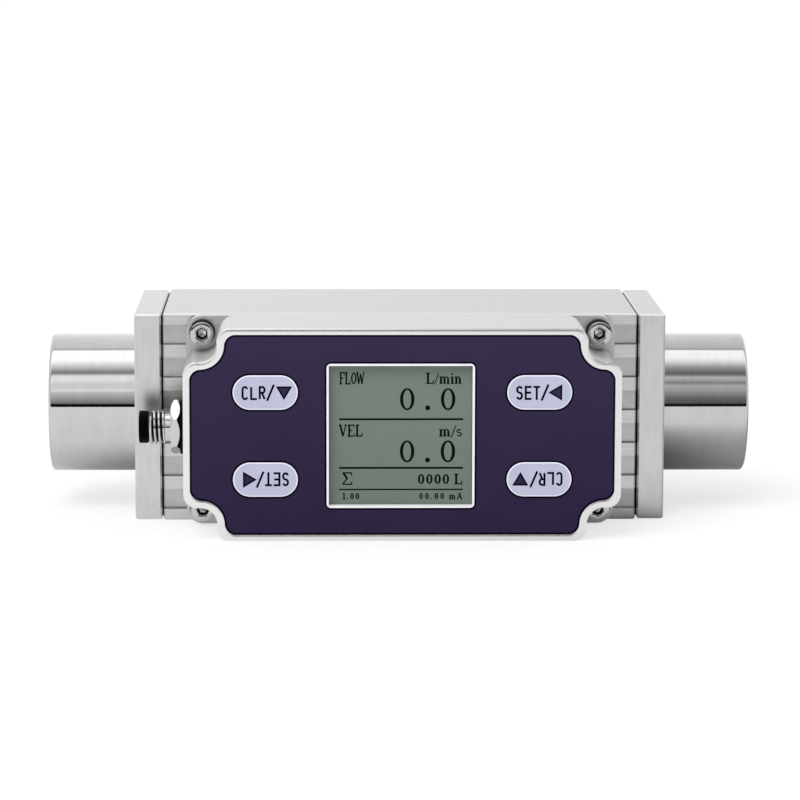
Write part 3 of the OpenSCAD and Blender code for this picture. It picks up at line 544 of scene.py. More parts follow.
# Each material with the CAD nodes that wear it.
FINISHES = [
    (body_metal, "flow_body"),
    (plate_metal, "end_plate_left end_plate_right"),
    (port_steel, "port_stub_left port_stub_right"),
    (rubber, "port_seal_left port_seal_right plate_gasket_left plate_gasket_right"),
    (rubber, "sensor_insert_seal housing_gasket connector_seal"),
    (screw_steel, "end_plate_screws_left end_plate_screws_right sensor_insert_screws"),
    (screw_steel, "housing_screws board_screws"),
    (mesh_steel, "flow_straightener_left flow_straightener_right"),
    (insert_plastic, "sensor_insert"),
    (board_green, "sensor_blade display_board main_board"),
    (sensor_ceramic, "sensor_chip"),
    (socket_plastic, "sensor_header board_sockets"),
    (amber_film, "sensor_cable key_circuit connector_cable"),
    (housing_metal, "housing"),
    (washer_steel_and_shadow, "split_washers"),
    (clear_film, "key_spacer"),
    (dome_steel, "key_domes"),
    (violet_film, "membrane_overlay"),
    (key_film, "key_caps"),
    (white_plastic, "window_border"),
    (screen_face, "screen_glass"),
    (light_guide, "backlight"),
    (chip_plastic, "board_link board_chips connector_insert"),
    (battery_wrap, "battery_pack"),
    (nickel, "connector_shell connector_nut"),
    (gold, "connector_pins"),
    (plug_plastic, "dust_plug"),
]
for worn, node_names in FINISHES:
    for node_name in node_names.split():
        slots = frame["nodes"][node_name].data.materials
        slots.clear()
        slots.append(worn)


# Ports with their pipe threads

PIPE_PITCH = 1.814
PIPE_DEPTH = 1.0
COLLAR_T = 3.5
COLLAR_STEP = 2.2
THREAD_R = 12.05
THREAD_L = 15.0
BORE_R = 10.0
PORT_EDGE = 0.8
MOUTH_CHAMFER = 1.0


def port_rows(base, shoulder, tip, port_r, rows_a_pitch=10):
    """Section of a stub as (radius, height, thread share), from the collar round to the bore."""
    floor = tip - THREAD_L
    threads = np.arange(floor + 1.2, tip - MOUTH_CHAMFER + 1e-6, PIPE_PITCH / rows_a_pitch)
    ease = np.minimum((threads - threads[0]) / PIPE_PITCH, 1)
    quarter = [(math.cos(a), math.sin(a)) for a in np.radians([0, 15, 30, 45, 60, 75, 90])]
    outside = [
        (BORE_R, base, 0),
        (port_r + COLLAR_STEP, base, 0),
        (port_r + COLLAR_STEP, shoulder, 0),
        (port_r, shoulder, 0),
        *((port_r - PORT_EDGE * (1 - c), tip - PORT_EDGE * (1 - s), 0) for c, s in quarter),
        (THREAD_R + MOUTH_CHAMFER, tip, 0),
    ]
    inside = [(THREAD_R, h, s) for h, s in zip(threads[::-1], ease[::-1])]
    return outside + inside + [(THREAD_R, floor, 0), (BORE_R, floor - (THREAD_R - BORE_R), 0)]


def port_stub(side, axes):
    """Turned stub whose bore carries a helical pipe thread that runs out at its floor."""
    node = f"port_stub_{side}"
    low, high = box_mm(node)
    reach = max(abs(low[0]), abs(high[0]))
    base = min(abs(low[0]), abs(high[0]))
    port_r = (high[2] - low[2]) / 2 - COLLAR_STEP
    rows = port_rows(base, base + COLLAR_T, reach, port_r)
    points, faces = threaded(rows, 144, PIPE_PITCH, PIPE_DEPTH, inside=True)
    points = placed(points, (0, 0, axis_z), axes)
    piece(f"turned_port_{side}", (points, outward(points, faces)), port_steel, [node], 28)


port_stub("left", LEFT_AXES)
port_stub("right", RIGHT_AXES)


# Connector

CONNECTOR_PITCH = 1.0
CONNECTOR_DEPTH = 0.62


def connector_place():
    """Point where the connector's axis leaves the housing's left wall."""
    seal_low, seal_high = box_mm("connector_seal")
    return np.array([seal_high[0], (seal_low[1] + seal_high[1]) / 2, (seal_low[2] + seal_high[2]) / 2])


def connector_shell():
    """Turned shell: flange inside the wall, plain shank through the nut, neck, and a real thread."""
    wall = connector_place()[0]
    low, high = box_mm("connector_shell")
    inner, tip = wall - high[0], wall - low[0]
    nut_face = wall - box_mm("connector_nut")[0][0]
    flange_r = (high[2] - low[2]) / 2
    flange_back = wall - box_mm("housing")[0][0] - 3.4
    flange_front = flange_back + 1.2
    neck_end = nut_face + 1.3
    crest_r, neck_r, bore_r, lead = 4.0, 3.4, 2.9, 0.6
    heights = np.arange(neck_end, tip - lead + 1e-6, CONNECTOR_PITCH / 14)
    thread = [(crest_r, h, 1.0) for h in heights]
    rows = [
        (bore_r, inner, 0),
        (crest_r, inner, 0),
        (crest_r, flange_back, 0),
        (flange_r, flange_back, 0),
        (flange_r, flange_front, 0),
        (crest_r, flange_front, 0),
        (crest_r, nut_face, 0),
        (neck_r, nut_face, 0),
        (neck_r, neck_end, 0),
        *thread,
        (neck_r, tip, 0),
        (bore_r, tip, 0),
    ]
    points, faces = threaded(rows, 96, CONNECTOR_PITCH, CONNECTOR_DEPTH, crest=0.3, root=0.12)
    points = placed(points, connector_place(), LEFT_AXES)
    solid = (points, outward(points, faces))
    piece("connector_threaded_shell", solid, thread_nickel, ["connector_shell"], 30)


def dust_plug():
    """Push-in plug: a knurled head with rounded edges and a hollow stem in the shell's mouth."""
    wall = connector_place()[0]
    low, high = box_mm("dust_plug")
    outer, inner = wall - low[0], wall - high[0]
    head = wall - box_mm("connector_shell")[0][0]
    head_r, edge, stem_r, stem_hole = (high[2] - low[2]) / 2, 0.3, 2.8, 2.5
    rows = [
        (stem_hole, inner),
        (stem_r, inner),
        (stem_r, head),
        (head_r - edge, head),
        (head_r, head + edge, 0, 0.07),
        (head_r, outer - edge, 0, 0.07),
        (head_r - edge * 0.3, outer - edge * 0.3, 0, 0.03),
        (head_r - edge, outer),
        (0.01, outer - 0.1),
        (0.01, head + 0.6),
        (stem_hole, head + 0.6),
    ]
    points, faces = turned(rows, 144, loop=True)
    points = placed(points, connector_place(), LEFT_AXES)
    solid = (points, outward(points, faces))
    piece("knurled_dust_plug", solid, plug_plastic, ["dust_plug"], 35)


connector_shell()
dust_plug()


# Socket head screws


def screw_rows(shank_r, head_r, head_h, socket_r, tip):
    """Section of a socket head screw: shank, knurled head with a stepped edge, hexagon socket."""
    knurl, ease = 0.06, 0.3
    floor = head_h * 0.3
    return [
        (0.02, -tip),
        (shank_r - 0.3, -tip),
        (shank_r, 0.3 - tip),
        (shank_r, 0),
        (head_r - 0.15, 0),
        (head_r, 0.15, 0, knurl),
        (head_r, head_h - ease - 0.2, 0, knurl),
        (head_r - 0.03, head_h - ease),
        (head_r - ease * 0.35, head_h - ease * 0.3),
        (head_r - ease, head_h - ease * 0.15),
        (head_r - ease - 0.35, head_h),
        (socket_r * 1.06, head_h),
        (socket_r * 1.02, head_h - 0.05, 0.8),
        (socket_r, head_h - 0.12, 1),
        (socket_r, floor, 1),
        (socket_r * 0.8, floor - 0.05, 0.3),
        (0.02, floor - 0.35),
    ]


def socket_screws(name, replaced, rows, seats, axes, turns):
    """Several equal screws as one piece, each with its socket turned its own way.

    A second piece is painted shade: a dark ring in the corner between the walls of their sockets and the
    floors.
    """
    reach, deep = rows[-3][0], rows[-3][1]
    # The ring is painted shade where the socket's walls meet its floor.
    ring = [(reach * 0.7, deep - 0.12, 0.6), (reach * 0.99, deep - 0.02, 1)]
    ring += [(reach * 0.99, deep + 0.3, 1), (reach * 0.68, deep, 0.8)]
    screw, corner_shade = turned(rows, 108), turned(ring, 36, loop=True)
    pieces = (name, screw, screw_steel), (f"{name}_dirt", corner_shade, socket_painted_shade)
    for title, (points, faces), material in pieces:
        solids = []
        for seat, turn in zip(seats, turns):
            c, s = math.cos(math.radians(turn)), math.sin(math.radians(turn))
            solid = placed(points @ np.array([[c, s, 0], [-s, c, 0], [0, 0, 1]]), seat, axes)
            solids.append((solid, outward(solid, faces)))
        piece(title, joined(solids), material, [replaced] if title == name else (), 34)


def corner_seats(low, high, head_r, seat):
    """Centres of four screw heads from the box round them, in the order left to right, top first."""
    xs, zs = (low[0] + head_r, high[0] - head_r), (high[2] - head_r, low[2] + head_r)
    return [(x, seat, z) for z in zs for x in xs]


def housing_screws():
    """Four M3 screws on their split washers."""
    low, high = box_mm("housing_screws")
    head_r, shank_r, head_h, socket_r = 2.75, 1.5, 3.0, 2.5 / 2 / math.cos(math.pi / 6)
    seat = low[1] + head_h
    rows = screw_rows(shank_r, head_r, head_h, socket_r, high[1] - seat)
    seats = corner_seats(low, high, head_r, seat)
    socket_screws("housing_socket_screws", "housing_screws", rows, seats, FRONT_AXES, (4, 0, 26, 11))


def end_plate_screws(side, sign, axes):
    """Four M4 screws sunk in one end plate."""
    node = f"end_plate_screws_{side}"
    low, high = box_mm(node)
    head_r, shank_r, head_h, socket_r = 3.5, 2.0, 4.0, 3.0 / 2 / math.cos(math.pi / 6)
    outer = high[0] if sign > 0 else low[0]
    inner = low[0] if sign > 0 else high[0]
    seat = outer - sign * head_h
    rows = screw_rows(shank_r, head_r, head_h, socket_r, abs(seat - inner))
    ys, zs = (low[1] + head_r, high[1] - head_r), (high[2] - head_r, low[2] + head_r)
    seats = [(seat, y, z) for z in zs for y in ys]
    socket_screws(f"end_plate_socket_screws_{side}", node, rows, seats, axes, (5, 40, 22, 51))


housing_screws()
end_plate_screws("left", -1, LEFT_AXES)
end_plate_screws("right", 1, RIGHT_AXES)


# Keypad print

KEY_L, KEY_H = 14.6, 7.8
INK_T = 0.02
KEY_LINE_W = 0.42
KEY_BEVEL_W = 0.27
LETTER_W, LETTER_H, LETTER_STEP, PEN = 1.08, 2.72, 1.93, 0.47

# Strokes of each letter in a box one unit wide and one high.
LETTERS = {
    "C": [[*arc_path(0.5, 0.76, 0.5, 0.24, 20, 180), *arc_path(0.5, 0.24, 0.5, 0.24, 180, 340)]],
    "L": [[(0, 1), (0, 0), (1.2, 0)]],
    "R": [[(0, 0), (0, 1), *arc_path(0.5, 0.76, 0.5, 0.24, 90, -90), (0, 0.52)], [(0.45, 0.52), (1, 0)]],
    "S": [[*arc_path(0.5, 0.76, 0.5, 0.24, 20, 270), *arc_path(0.5, 0.26, 0.5, 0.26, 75, -160)]],
    "E": [[(1.2, 1), (0, 1), (0, 0), (1.2, 0)], [(0, 0.52), (1.1, 0.52)]],
    "T": [[(-0.2, 1), (1.2, 1)], [(0.5, 1), (0.5, -0.08)]],
}


def key_places():
    """Centres of the four keys from the box round them."""
    low, high = box_mm("key_caps")
    x = (high[0] - low[0]) / 2 - KEY_L / 2
    middle = (high[0] + low[0]) / 2
    zs = (high[2] - KEY_H / 2, low[2] + KEY_H / 2)
    return [(middle - x, zs[0]), (middle + x, zs[0]), (middle - x, zs[1]), (middle + x, zs[1])]


ARROWS = {"down": [(2.4, 1.4), (4.2, -1.7), (6.05, 1.4)], "left": [(1.95, 0), (5.05, -1.85), (5.05, 1.85)]}


def key_legend(word, arrow):
    """A three letter word, a slash and an arrow head, drawn round the key's centre."""
    low, high = 0.0, INK_T
    solids = []
    for i, letter in enumerate(word):
        corner = [-5.07 + i * LETTER_STEP, -0.1 - LETTER_H / 2]
        for path in LETTERS[letter]:
            path = np.asarray(path, float) * [LETTER_W, LETTER_H] + corner
            solids.append(stroke(path, PEN, low, high))
    solids.append(stroke([(0.42, -1.85), (1.95, 1.8)], PEN, low, high))
    solids.append(plate(np.array(ARROWS[arrow]), low, high))
    return joined(solids)


def arrow_fill(arrow):
    """The paler middle of an arrow head, just above its ink."""
    corners = np.array(ARROWS[arrow])
    middle = corners.mean(axis=0)
    return plate(middle + (corners - middle) * 0.66, INK_T, INK_T + 0.01)


def on_front(solid, x=0.0, z=0.0):
    """A solid drawn in the front view, its depth zero on the flow body's front, round a point there."""
    points = placed(solid[0], (x, body_front, axis_z + z), FRONT_AXES)
    return points, outward(points, solid[1])


def keys():
    """Embossed keys whose bevelled edges carry a pale painted highlight, their legends, and the dark lines
    printed round them.

    The lower pair reads from above.
    """
    words = [("CLR", "down", 1), ("SET", "left", 1), ("SET", "left", -1), ("CLR", "down", -1)]
    film, top = body_front - film_face, body_front - key_face
    line_out, line_in, outer, inner = (
        pill_outline(KEY_L, KEY_H, grow) for grow in (KEY_LINE_W, 0.02, 0, -KEY_BEVEL_W)
    )
    line, field = band(line_out, line_in, film, film + INK_T), plate(inner, film, top)
    rings = [raised(outer, film), raised(outer, film + 0.03), raised(inner, top), raised(inner, film)]
    bevel = skin(rings, loop=True)
    fields, bevels, lines, legends, fills = [], [], [], [], []
    for (x, z), (word, arrow, way) in zip(key_places(), words):
        for drawn, (points, faces) in ((legends, key_legend(word, arrow)), (fills, arrow_fill(arrow))):
            drawn.append(on_front((points * [way, way, 1] + [0, 0, top], faces), x, z - axis_z))
        for drawn, solid in ((lines, line), (bevels, bevel), (fields, field)):
            drawn.append(on_front(solid, x, z - axis_z))
    piece("key_fields", joined(fields), key_film, ["key_caps"])
    # The bevels' pale colour is a painted highlight along the keys' edges.
    piece("key_bevels", joined(bevels), key_edge_highlight)
    piece("key_lines", joined(lines), ink_and_shadow)
    piece("key_legends", joined(legends), ink_and_shadow)
    piece("arrow_fills", joined(fills), violet_film)


SCALLOP_R, BLEND_R, LUG_R = 3.9, 3.0, 3.75
CHAMFER, LIP = 0.45, 0.15
FILM_SHOULDER, FILM_SCOOP, FILM_START = 4.05, 0.22, 1.42
LINE_START, LINE_END = 1.56, 1.89


def scalloped(inset, shoulder, scoop=0.0, steps=30):
    """Outline of the housing's front, a distance inside its edge, drawn round the gas axis.

    The sides are straight. Each corner is an arc round its screw, with a round shoulder on either
    side of it: the shoulder's centre lies its radius inside the straight side, and as far from the
    screw as both radii together.
    """
    low, high = box_mm("housing")
    half = np.array([high[0] - low[0], high[2] - low[2]]) / 2
    screw = half - LUG_R
    near = half - inset - shoulder
    scallop = SCALLOP_R + inset + scoop
    back = np.sqrt((scallop + shoulder) ** 2 - (near - screw) ** 2)
    above, beside = (screw[0] - back[1], near[1]), (near[0], screw[1] - back[0])
    turn = lambda a, b: math.degrees(math.atan2(b[1] - a[1], b[0] - a[0]))
    start, end = turn(screw, above) % 360, turn(screw, beside) % 360
    corner = [
        arc_path(*above, shoulder, shoulder, 90, turn(above, screw), steps),
        arc_path(*screw, scallop, scallop, start, end, steps * 2)[1:-1],
        arc_path(*beside, shoulder, shoulder, turn(beside, screw), 0, steps),
    ]
    corner = np.concatenate(corner)
    right = np.concatenate([corner, (corner * [1, -1])[::-1]])
    return np.concatenate([right, (right * [-1, 1])[::-1]])


def film_edge(inset):
    """Edge of the film as it shows inside the rim, with rounder shoulders than the film's own."""
    return scalloped(inset, FILM_SHOULDER - inset, FILM_SCOOP)


def rim_face():
    """Bright face cut round the housing's rim after casting.

    A ring whose section is flat in the middle, falls off by 3.8 degrees towards the outside and
    5.6 degrees towards the film, and ends in a chamfer of 26 degrees. It laps over the film's
    corners.
    """
    face, top = body_front - box_mm("housing")[0][1], 0.055
    fall = lambda run, degrees: run * math.tan(math.radians(degrees))
    rim = lambda inset: scalloped(inset, BLEND_R - inset)
    chamfer_end, flat_start, flat_end = 0.3, 0.7, 1.05
    shoulder = top - fall(flat_start - chamfer_end, 3.8)
    section = [
        (rim(0), -CHAMFER),
        (rim(0), shoulder - fall(chamfer_end, 26)),
        (rim(chamfer_end), shoulder),
        (rim(flat_start), top),
        (film_edge(flat_end), top),
        (film_edge(FILM_START), top - fall(FILM_START - flat_end, 5.6)),
        (film_edge(FILM_START), -LIP),
        (rim(0.9), -LIP),
    ]
    rows = [raised(outline, face + rise) for outline, rise in section]
    piece("rim_face", on_front(skin(rows, loop=True)), rim_metal, smooth_below=3)


def painted_film_shadows():
    """Dark lines along the film's edge under the rim and round its window: painted shadow, in the dark ink.
    """
    film = body_front - film_face
    window = front_loops("membrane_overlay")[1]
    # Painted shadow along the film's edge under the rim and round the window, in the ink's colour.
    along_edge = band(film_edge(LINE_START), film_edge(LINE_END), film, film + INK_T)
    along_window = band(aside(window, 0.32), aside(window, 0.02), film, film + INK_T)
    piece("painted_film_shadows", joined([on_front(along_edge), on_front(along_window)]), ink_and_shadow)


keys()
rim_face()
painted_film_shadows()


# Screen print

SEGMENT_T = 0.03
SCREEN_X = -0.5


THICK, THIN = 0.2, 0.115


def upright(x, start, end):
    """A thick upright stroke."""
    return THICK, [(x, start), (x, end)]


def level(start, end, z=0.0):
    """A thin level stroke, such as a serif."""
    return THIN, [(start, z), (end, z)]


def arch(x):
    """The thin arch between two uprights of a small letter."""
    return THIN, arc_path(x, 0.46, 0.17, 0.19, 170, 10)


# Advance, then strokes with their pens, all in units of the capital height.
SERIF = {
    "F": [0.8, upright(0.2, 0, 1), level(0.04, 0.38), (THIN, [(0.04, 1), (0.68, 1), (0.7, 0.76)])],
    "L": [0.82, upright(0.2, 1, 0), level(0.04, 0.4, 1), (THIN, [(0.04, 0), (0.68, 0), (0.73, 0.28)])],
    "W": [1.15, (THICK, [(0.1, 1), (0.32, 0)]), (THIN, [(0.32, 0), (0.53, 0.9)])],
    "V": [0.86, (THICK, [(0.1, 1), (0.4, 0)]), (THIN, [(0.4, 0), (0.7, 1)])],
    "E": [0.84, upright(0.2, 0, 1), (THIN, [(0.04, 1), (0.68, 1), (0.7, 0.78)])],
    "A": [0.86, (THIN, [(0.1, 0), (0.4, 1)]), (THICK, [(0.4, 1), (0.7, 0)]), level(0.2, 0.58, 0.34)],
    "/": [0.44, (0.09, [(0.0, -0.14), (0.4, 1.04)])],
    "m": [1.06, upright(0.17, 0, 0.66), level(0.0, 0.17, 0.63), arch(0.34), upright(0.51, 0.5, 0)],
    "n": [0.72, upright(0.17, 0, 0.66), level(0.0, 0.17, 0.63), arch(0.34), upright(0.51, 0.5, 0)],
    "i": [0.38, upright(0.18, 0, 0.66), level(0.02, 0.18, 0.63), level(0.03, 0.33)],
    "s": [0.52],
    "1": [0.56, upright(0.28, 0, 1), (THIN, [(0.06, 0.84), (0.28, 0.97)]), level(0.08, 0.48)],
    " ": [0.3],
}
SERIF["F"] += [level(0.2, 0.54, 0.52)]
SERIF["W"] += [(THICK, [(0.53, 0.9), (0.75, 0)]), (THIN, [(0.75, 0), (0.97, 1)])]
SERIF["W"] += [level(-0.02, 0.25, 1), level(0.85, 1.08, 1)]
SERIF["V"] += [level(-0.02, 0.25, 1), level(0.57, 0.82, 1)]
SERIF["E"] += [(THIN, [(0.04, 0), (0.7, 0), (0.74, 0.25)]), level(0.2, 0.55, 0.52)]
SERIF["A"] += [level(-0.02, 0.22), level(0.56, 0.84)]
SERIF["m"] += [arch(0.68), upright(0.85, 0.5, 0), level(0.03, 0.3), level(0.39, 0.63), level(0.73, 0.99)]
SERIF["n"] += [level(0.03, 0.3), level(0.39, 0.65)]
SERIF["i"] += [(0.16, [(0.18, 0.86), (0.18, 1.02)])]
small_s = [*arc_path(0.25, 0.49, 0.19, 0.16, 35, 270), *arc_path(0.25, 0.17, 0.2, 0.16, 75, -150)]
SERIF["s"] += [(0.11, small_s)]


def lettering(text, height, x, z, align, gap=0.0, stretch=1.0, weight=1.0):
    """Thin solids of a line of serifed letters. Noughts and O are rings, a point is a disc.

    The gap goes between letters, stretch widens them and weight thickens the pen.
    """
    wide = {"0": 0.72, "O": 0.84, ".": 0.34}
    advance = [(wide.get(c) or SERIF[c][0]) + gap for c in text]
    width = height * (sum(advance) - gap)
    pen_x = -width if align == "right" else 0
    solids = []
    for c, step in zip(text, advance):
        if c in "0O":
            width = (step - gap - 0.12) * height
            middle, side_w, end_w = pen_x + (step - gap) / 2 * height, THICK * weight, THIN * weight
            tall = height * 1.03
            solids.append(zero(middle, z + height / 2, width, tall, side_w * height, end_w * height))
        elif c == ".":
            solids.append(dot(pen_x + 0.14 * height, z + 0.06 * height, 0.09 * weight * height))
        else:
            for pen, path in SERIF[c][1:]:
                path = np.asarray(path, float) * height + [pen_x, z]
                solids.append(stroke(path, pen * weight * height, 0, SEGMENT_T))
        pen_x += step * height
    return [(points * [stretch, 1, 1] + [x, 0, 0], faces) for points, faces in solids]


def zero(x, z, width, height, side_w, end_w):
    """A figure nought: the band between two ellipses, thick at its sides and thin at its ends."""
    turn = np.arange(48) * 2 * np.pi / 48
    ring = np.stack([np.cos(turn), np.sin(turn)], -1)
    outer = ring * [width / 2, height / 2] + [x, z]
    inner = ring * [width / 2 - side_w, height / 2 - end_w] + [x, z]
    return band(outer, inner, 0, SEGMENT_T)


def dot(x, z, radius):
    """A round full stop."""
    turn = np.arange(24) * 2 * np.pi / 24
    return plate(np.stack([x + radius * np.cos(turn), z + radius * np.sin(turn)], -1), 0, SEGMENT_T)


def rule(z, thickness, left=-13.75, right=14.2):
    """A ruled line across the screen."""
    low, high = z - thickness / 2, z + thickness / 2
    return plate(np.array([(left, low), (right, low), (right, high), (left, high)]), 0, SEGMENT_T)


def sigma(x, z, width, height):
    """The sign for a total: a thick stroke down to its waist, thin ones elsewhere, and two ticks."""
    thin = [(0.96, 0.76), (0.92, 1), (0.02, 1)], [(0.5, 0.5), (0.04, 0.02)], [(0.02, 0), (0.93, 0), (1, 0.24)]
    solids = [stroke(np.array(path) * [width, height] + [x, z], 0.28, 0, SEGMENT_T) for path in thin]
    thick = np.array([(0.1, 1), (0.5, 0.48)]) * [width, height] + [x, z]
    return [stroke(thick, 0.5, 0, SEGMENT_T), *solids]


def screen_print():
    """Two readings over their rules, a total and two small figures, all of them plain noughts."""
    face = body_front - glass_face
    figures, large = [], (3.25, 5.0, 0.72, 0.38)
    for z in (7.9, -4.0):
        figures += [zero(1.6, z, *large), dot(6.22, z - 1.97, 0.55), zero(10.8, z, *large)]
    figures += lettering("FLOW", 2.5, -13.7, 11.4, "left", -0.06, 0.68)
    figures += lettering("L/min", 2.25, 13.9, 11.5, "right", 0.02, 1.03)
    figures += lettering("VEL", 2.5, -13.7, -0.5, "left", 0, 0.85)
    figures += lettering("m/s", 2.25, 14.0, -0.5, "right", 0.04, 1.1)
    figures += sigma(-13.0, -11.5, 2.2, 2.6)
    figures += lettering("0000 L", 2.2, 14.2, -11.42, "right", 0.05, 1.1)
    figures += lettering("1.00", 1.38, -13.0, -14.9, "left", 0.16, weight=1.12)
    figures += lettering("00.00 mA", 1.38, 14.1, -14.9, "right", 0.24, weight=1.12)
    rules = [rule(3.34, 0.42), rule(-7.76, 0.42), rule(-12.7, 0.3)]
    for name, solids in (("screen_figures", figures), ("screen_rules", rules)):
        points, faces = joined(solids)
        piece(name, on_front((points + [0, 0, face], faces), SCREEN_X), screen_ink)


screen_print()


# Floor, light and camera


def floor():
    """Plain pale floor. A share of its own white lets it reach white while it keeps the shadow.

    What shiny metal mirrors of it carries a painted shadow: dimmer close under the meter, most under its
    right end.
    """
    size = 6.0
    corners = [(-size, -size, 0), (size, -size, 0), (size, size, 0), (-size, size, 0)]
    mesh = bpy.data.meshes.new("floor")
    mesh.from_pydata(corners, [], [(0, 1, 2, 3)])
    made = bpy.data.objects.new("floor", mesh)
    bpy.context.scene.collection.objects.link(made)
    material = bpy.data.materials.new("plain_pale_floor")
    material.use_nodes = True
    tree = material.node_tree
    tree.nodes.clear()
    path = add(tree, "ShaderNodeLightPath").outputs
    shiny = arithmetic(tree, "MAXIMUM", path["Is Glossy Ray"], path["Is Transmission Ray"])
    for_metal = arithmetic(tree, "MULTIPLY", shiny, 0.3)
    for_camera = arithmetic(tree, "MULTIPLY", path["Is Camera Ray"], 0.6)
    share = arithmetic(tree, "MAXIMUM", for_metal, for_camera)
    at = position(tree)
    reach, outwards = (arithmetic(tree, "ABSOLUTE", at[axis]) for axis in "YX")
    # Painted shadow: the floor that shiny metal sees darkens close under the meter, more under its right end.
    painted_shadows = []
    for near, far, least, most, lift in ((0.005, 0.026, 0.4, 1.0, 0.7), (0.008, 0.062, 0.16, 0.94, 0.35)):
        under = eased(tree, reach, near, far, least, most)
        lifted = eased(tree, outwards, 0.054, 0.084, 0.0, lift)
        painted_shadows.append(blended(tree, lifted, under, most))
    painted_shadow = blended(tree, eased(tree, at["X"], -0.04, 0.04), *painted_shadows)
    seen = blended(tree, shiny, 1.0, painted_shadow)
    matt = add(tree, "ShaderNodeBsdfDiffuse", {"Color": tint(tree, seen, "#000000", "#F4F4F4")})
    strength = arithmetic(tree, "MULTIPLY", seen, 1.12)
    white = add(tree, "ShaderNodeEmission", {"Color": srgb("#FFFFFF"), "Strength": strength})
    mix = add(tree, "ShaderNodeMixShader", {0: share, 1: matt.outputs[0], 2: white.outputs[0]})
    add(tree, "ShaderNodeOutputMaterial", {"Surface": mix.outputs[0]})
    mesh.materials.append(material)


# What polished metal sees on its left and on its right, by the angle in degrees from the front
# horizon over the top to the back: panels with dark gaps between them, dimmer on the right.
STUDIO = [
    (4, 0.0, 0.01),
    (5.6, 0.22, 0.14),
    (11, 0.41, 0.17),
    (16, 0.52, 0.24),
    (20, 0.68, 0.34),
    (23.5, 0.72, 0.4),
    (26, 1.03, 0.48),
    (28.5, 1.07, 0.54),
    (32, 0.95, 0.56),
    (35, 0.96, 0.65),
    (38, 0.92, 0.4),
    (41, 1.05, 0.36),
    (45, 1.18, 0.56),
    (49, 1.18, 0.71),
    (52.5, 1.18, 0.4),
    (54.5, 0.75, 0.23),
    (57, 0.38, 0.21),
    (59, 0.32, 0.23),
    (63, 0.5, 0.33),
    (67, 0.73, 0.44),
    (71, 0.94, 0.6),
    (75, 1.15, 0.85),
    (80, 1.48, 1.12),
    (86, 1.65, 1.4),
    (104, 1.66, 1.5),
    (106.5, 0.7, 0.6),
    (109, 0.66, 0.54),
    (111.5, 0.87, 0.72),
    (137, 0.99, 0.87),
    (158, 1.06, 0.96),
    (176, 1.13, 1.06),
]
STUDIO_TOP = 1.66


def background(tree, colour, strength):
    """One background shader."""
    return add(tree, "ShaderNodeBackground", {"Color": colour, "Strength": strength}).outputs[0]


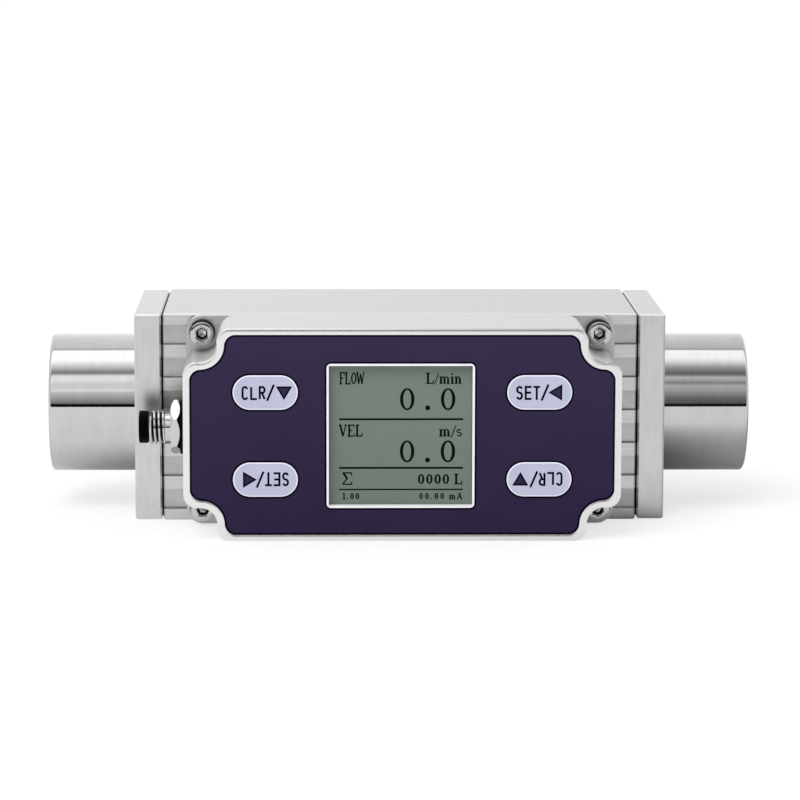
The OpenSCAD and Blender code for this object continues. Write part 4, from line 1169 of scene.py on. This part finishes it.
def world():
    """White to the camera, an even ambient for matt surfaces, and a banded studio for shiny ones."""
    made = bpy.data.worlds.new("studio")
    bpy.context.scene.world = made
    made.use_nodes = True
    made.cycles.sampling_method = "NONE"
    tree = made.node_tree
    tree.nodes.clear()
    path = add(tree, "ShaderNodeLightPath").outputs
    ray = add(tree, "ShaderNodeTexCoord").outputs["Generated"]
    way = add(tree, "ShaderNodeSeparateXYZ", {0: ray}).outputs
    front = arithmetic(tree, "MULTIPLY", way["Y"], -1.0)
    angle = arithmetic(tree, "ARCTAN2", way["Z"], front)
    bands = add(tree, "ShaderNodeValToRGB", {"Fac": arithmetic(tree, "DIVIDE", angle, math.pi)})
    ramp = bands.color_ramp
    ramp.elements.remove(ramp.elements[1])
    for degrees, left, right in STUDIO:
        ramp.elements.new(degrees / 180).color = (left / STUDIO_TOP, right / STUDIO_TOP, 0, 1)
    ramp.elements.remove(ramp.elements[0])
    levels = add(tree, "ShaderNodeSeparateColor", {0: bands.outputs[0]}).outputs
    banded = blended(tree, eased(tree, way["X"], -0.03, 0.07), levels[0], levels[1])
    sideways = eased(tree, arithmetic(tree, "ABSOLUTE", way["X"]), 0.45, 0.85)
    studio = background(tree, blended(tree, sideways, banded, 0.8 / STUDIO_TOP), STUDIO_TOP)
    ambient, white = (background(tree, srgb("#FFFFFF"), strength) for strength in (0.6, 1.0))
    shiny = arithmetic(tree, "MAXIMUM", path["Is Glossy Ray"], path["Is Transmission Ray"])
    for_metal = add(tree, "ShaderNodeMixShader", {0: shiny, 1: ambient, 2: studio}).outputs[0]
    for_camera = add(tree, "ShaderNodeMixShader", {0: path["Is Camera Ray"], 1: for_metal, 2: white})
    add(tree, "ShaderNodeOutputWorld", {"Surface": for_camera.outputs[0]})


def softbox(name, towards, energy, spread_degrees):
    """Very wide soft lamp far away, for matt surfaces. Shiny ones have the studio's bands instead."""
    data = bpy.data.lights.new(name, "SUN")
    data.energy, data.angle = energy, math.radians(spread_degrees)
    lamp = bpy.data.objects.new(name, data)
    lamp.rotation_euler = Vector(towards).to_track_quat("-Z", "Y").to_euler()
    lamp.visible_glossy = False
    bpy.context.scene.collection.objects.link(lamp)


def camera():
    """The photograph's camera: a long lens a little above the gas path, fitted to the blocks."""
    distance, pitch, yaw, roll = 0.88329, 8.489, 1.182, 0.133
    focal_px, frame_px, centre_px = 3704.35, 800, (397.83, 401.58)
    th, ps, ro = (math.radians(v) for v in (pitch, yaw, roll))
    forward = Vector((math.sin(ps) * math.cos(th), math.cos(ps) * math.cos(th), -math.sin(th)))
    right = Vector((math.cos(ps), -math.sin(ps), 0))
    up = right.cross(forward)
    rolled_right = right * math.cos(ro) + up * math.sin(ro)
    rolled_up = up * math.cos(ro) - right * math.sin(ro)
    data = bpy.data.cameras.new("camera")
    data.sensor_width = 36
    data.lens = focal_px / frame_px * data.sensor_width
    data.shift_x = (frame_px / 2 - centre_px[0]) / frame_px
    data.shift_y = (centre_px[1] - frame_px / 2) / frame_px
    data.clip_start, data.clip_end = 0.05, 30
    made = bpy.data.objects.new("camera", data)
    turn = Matrix((rolled_right, rolled_up, -forward)).transposed().to_4x4()
    gas_axis = Vector((0, 0, axis_z * MM))
    made.matrix_world = Matrix.Translation(gas_axis - forward * distance) @ turn
    bpy.context.scene.collection.objects.link(made)
    bpy.context.scene.camera = made


floor()
world()
softbox("key", (0.35, 0.55, -0.8), 1.7, 40)
camera()
bpy.context.scene.view_settings.view_transform = "Standard"

bpy.context.view_layer.update()
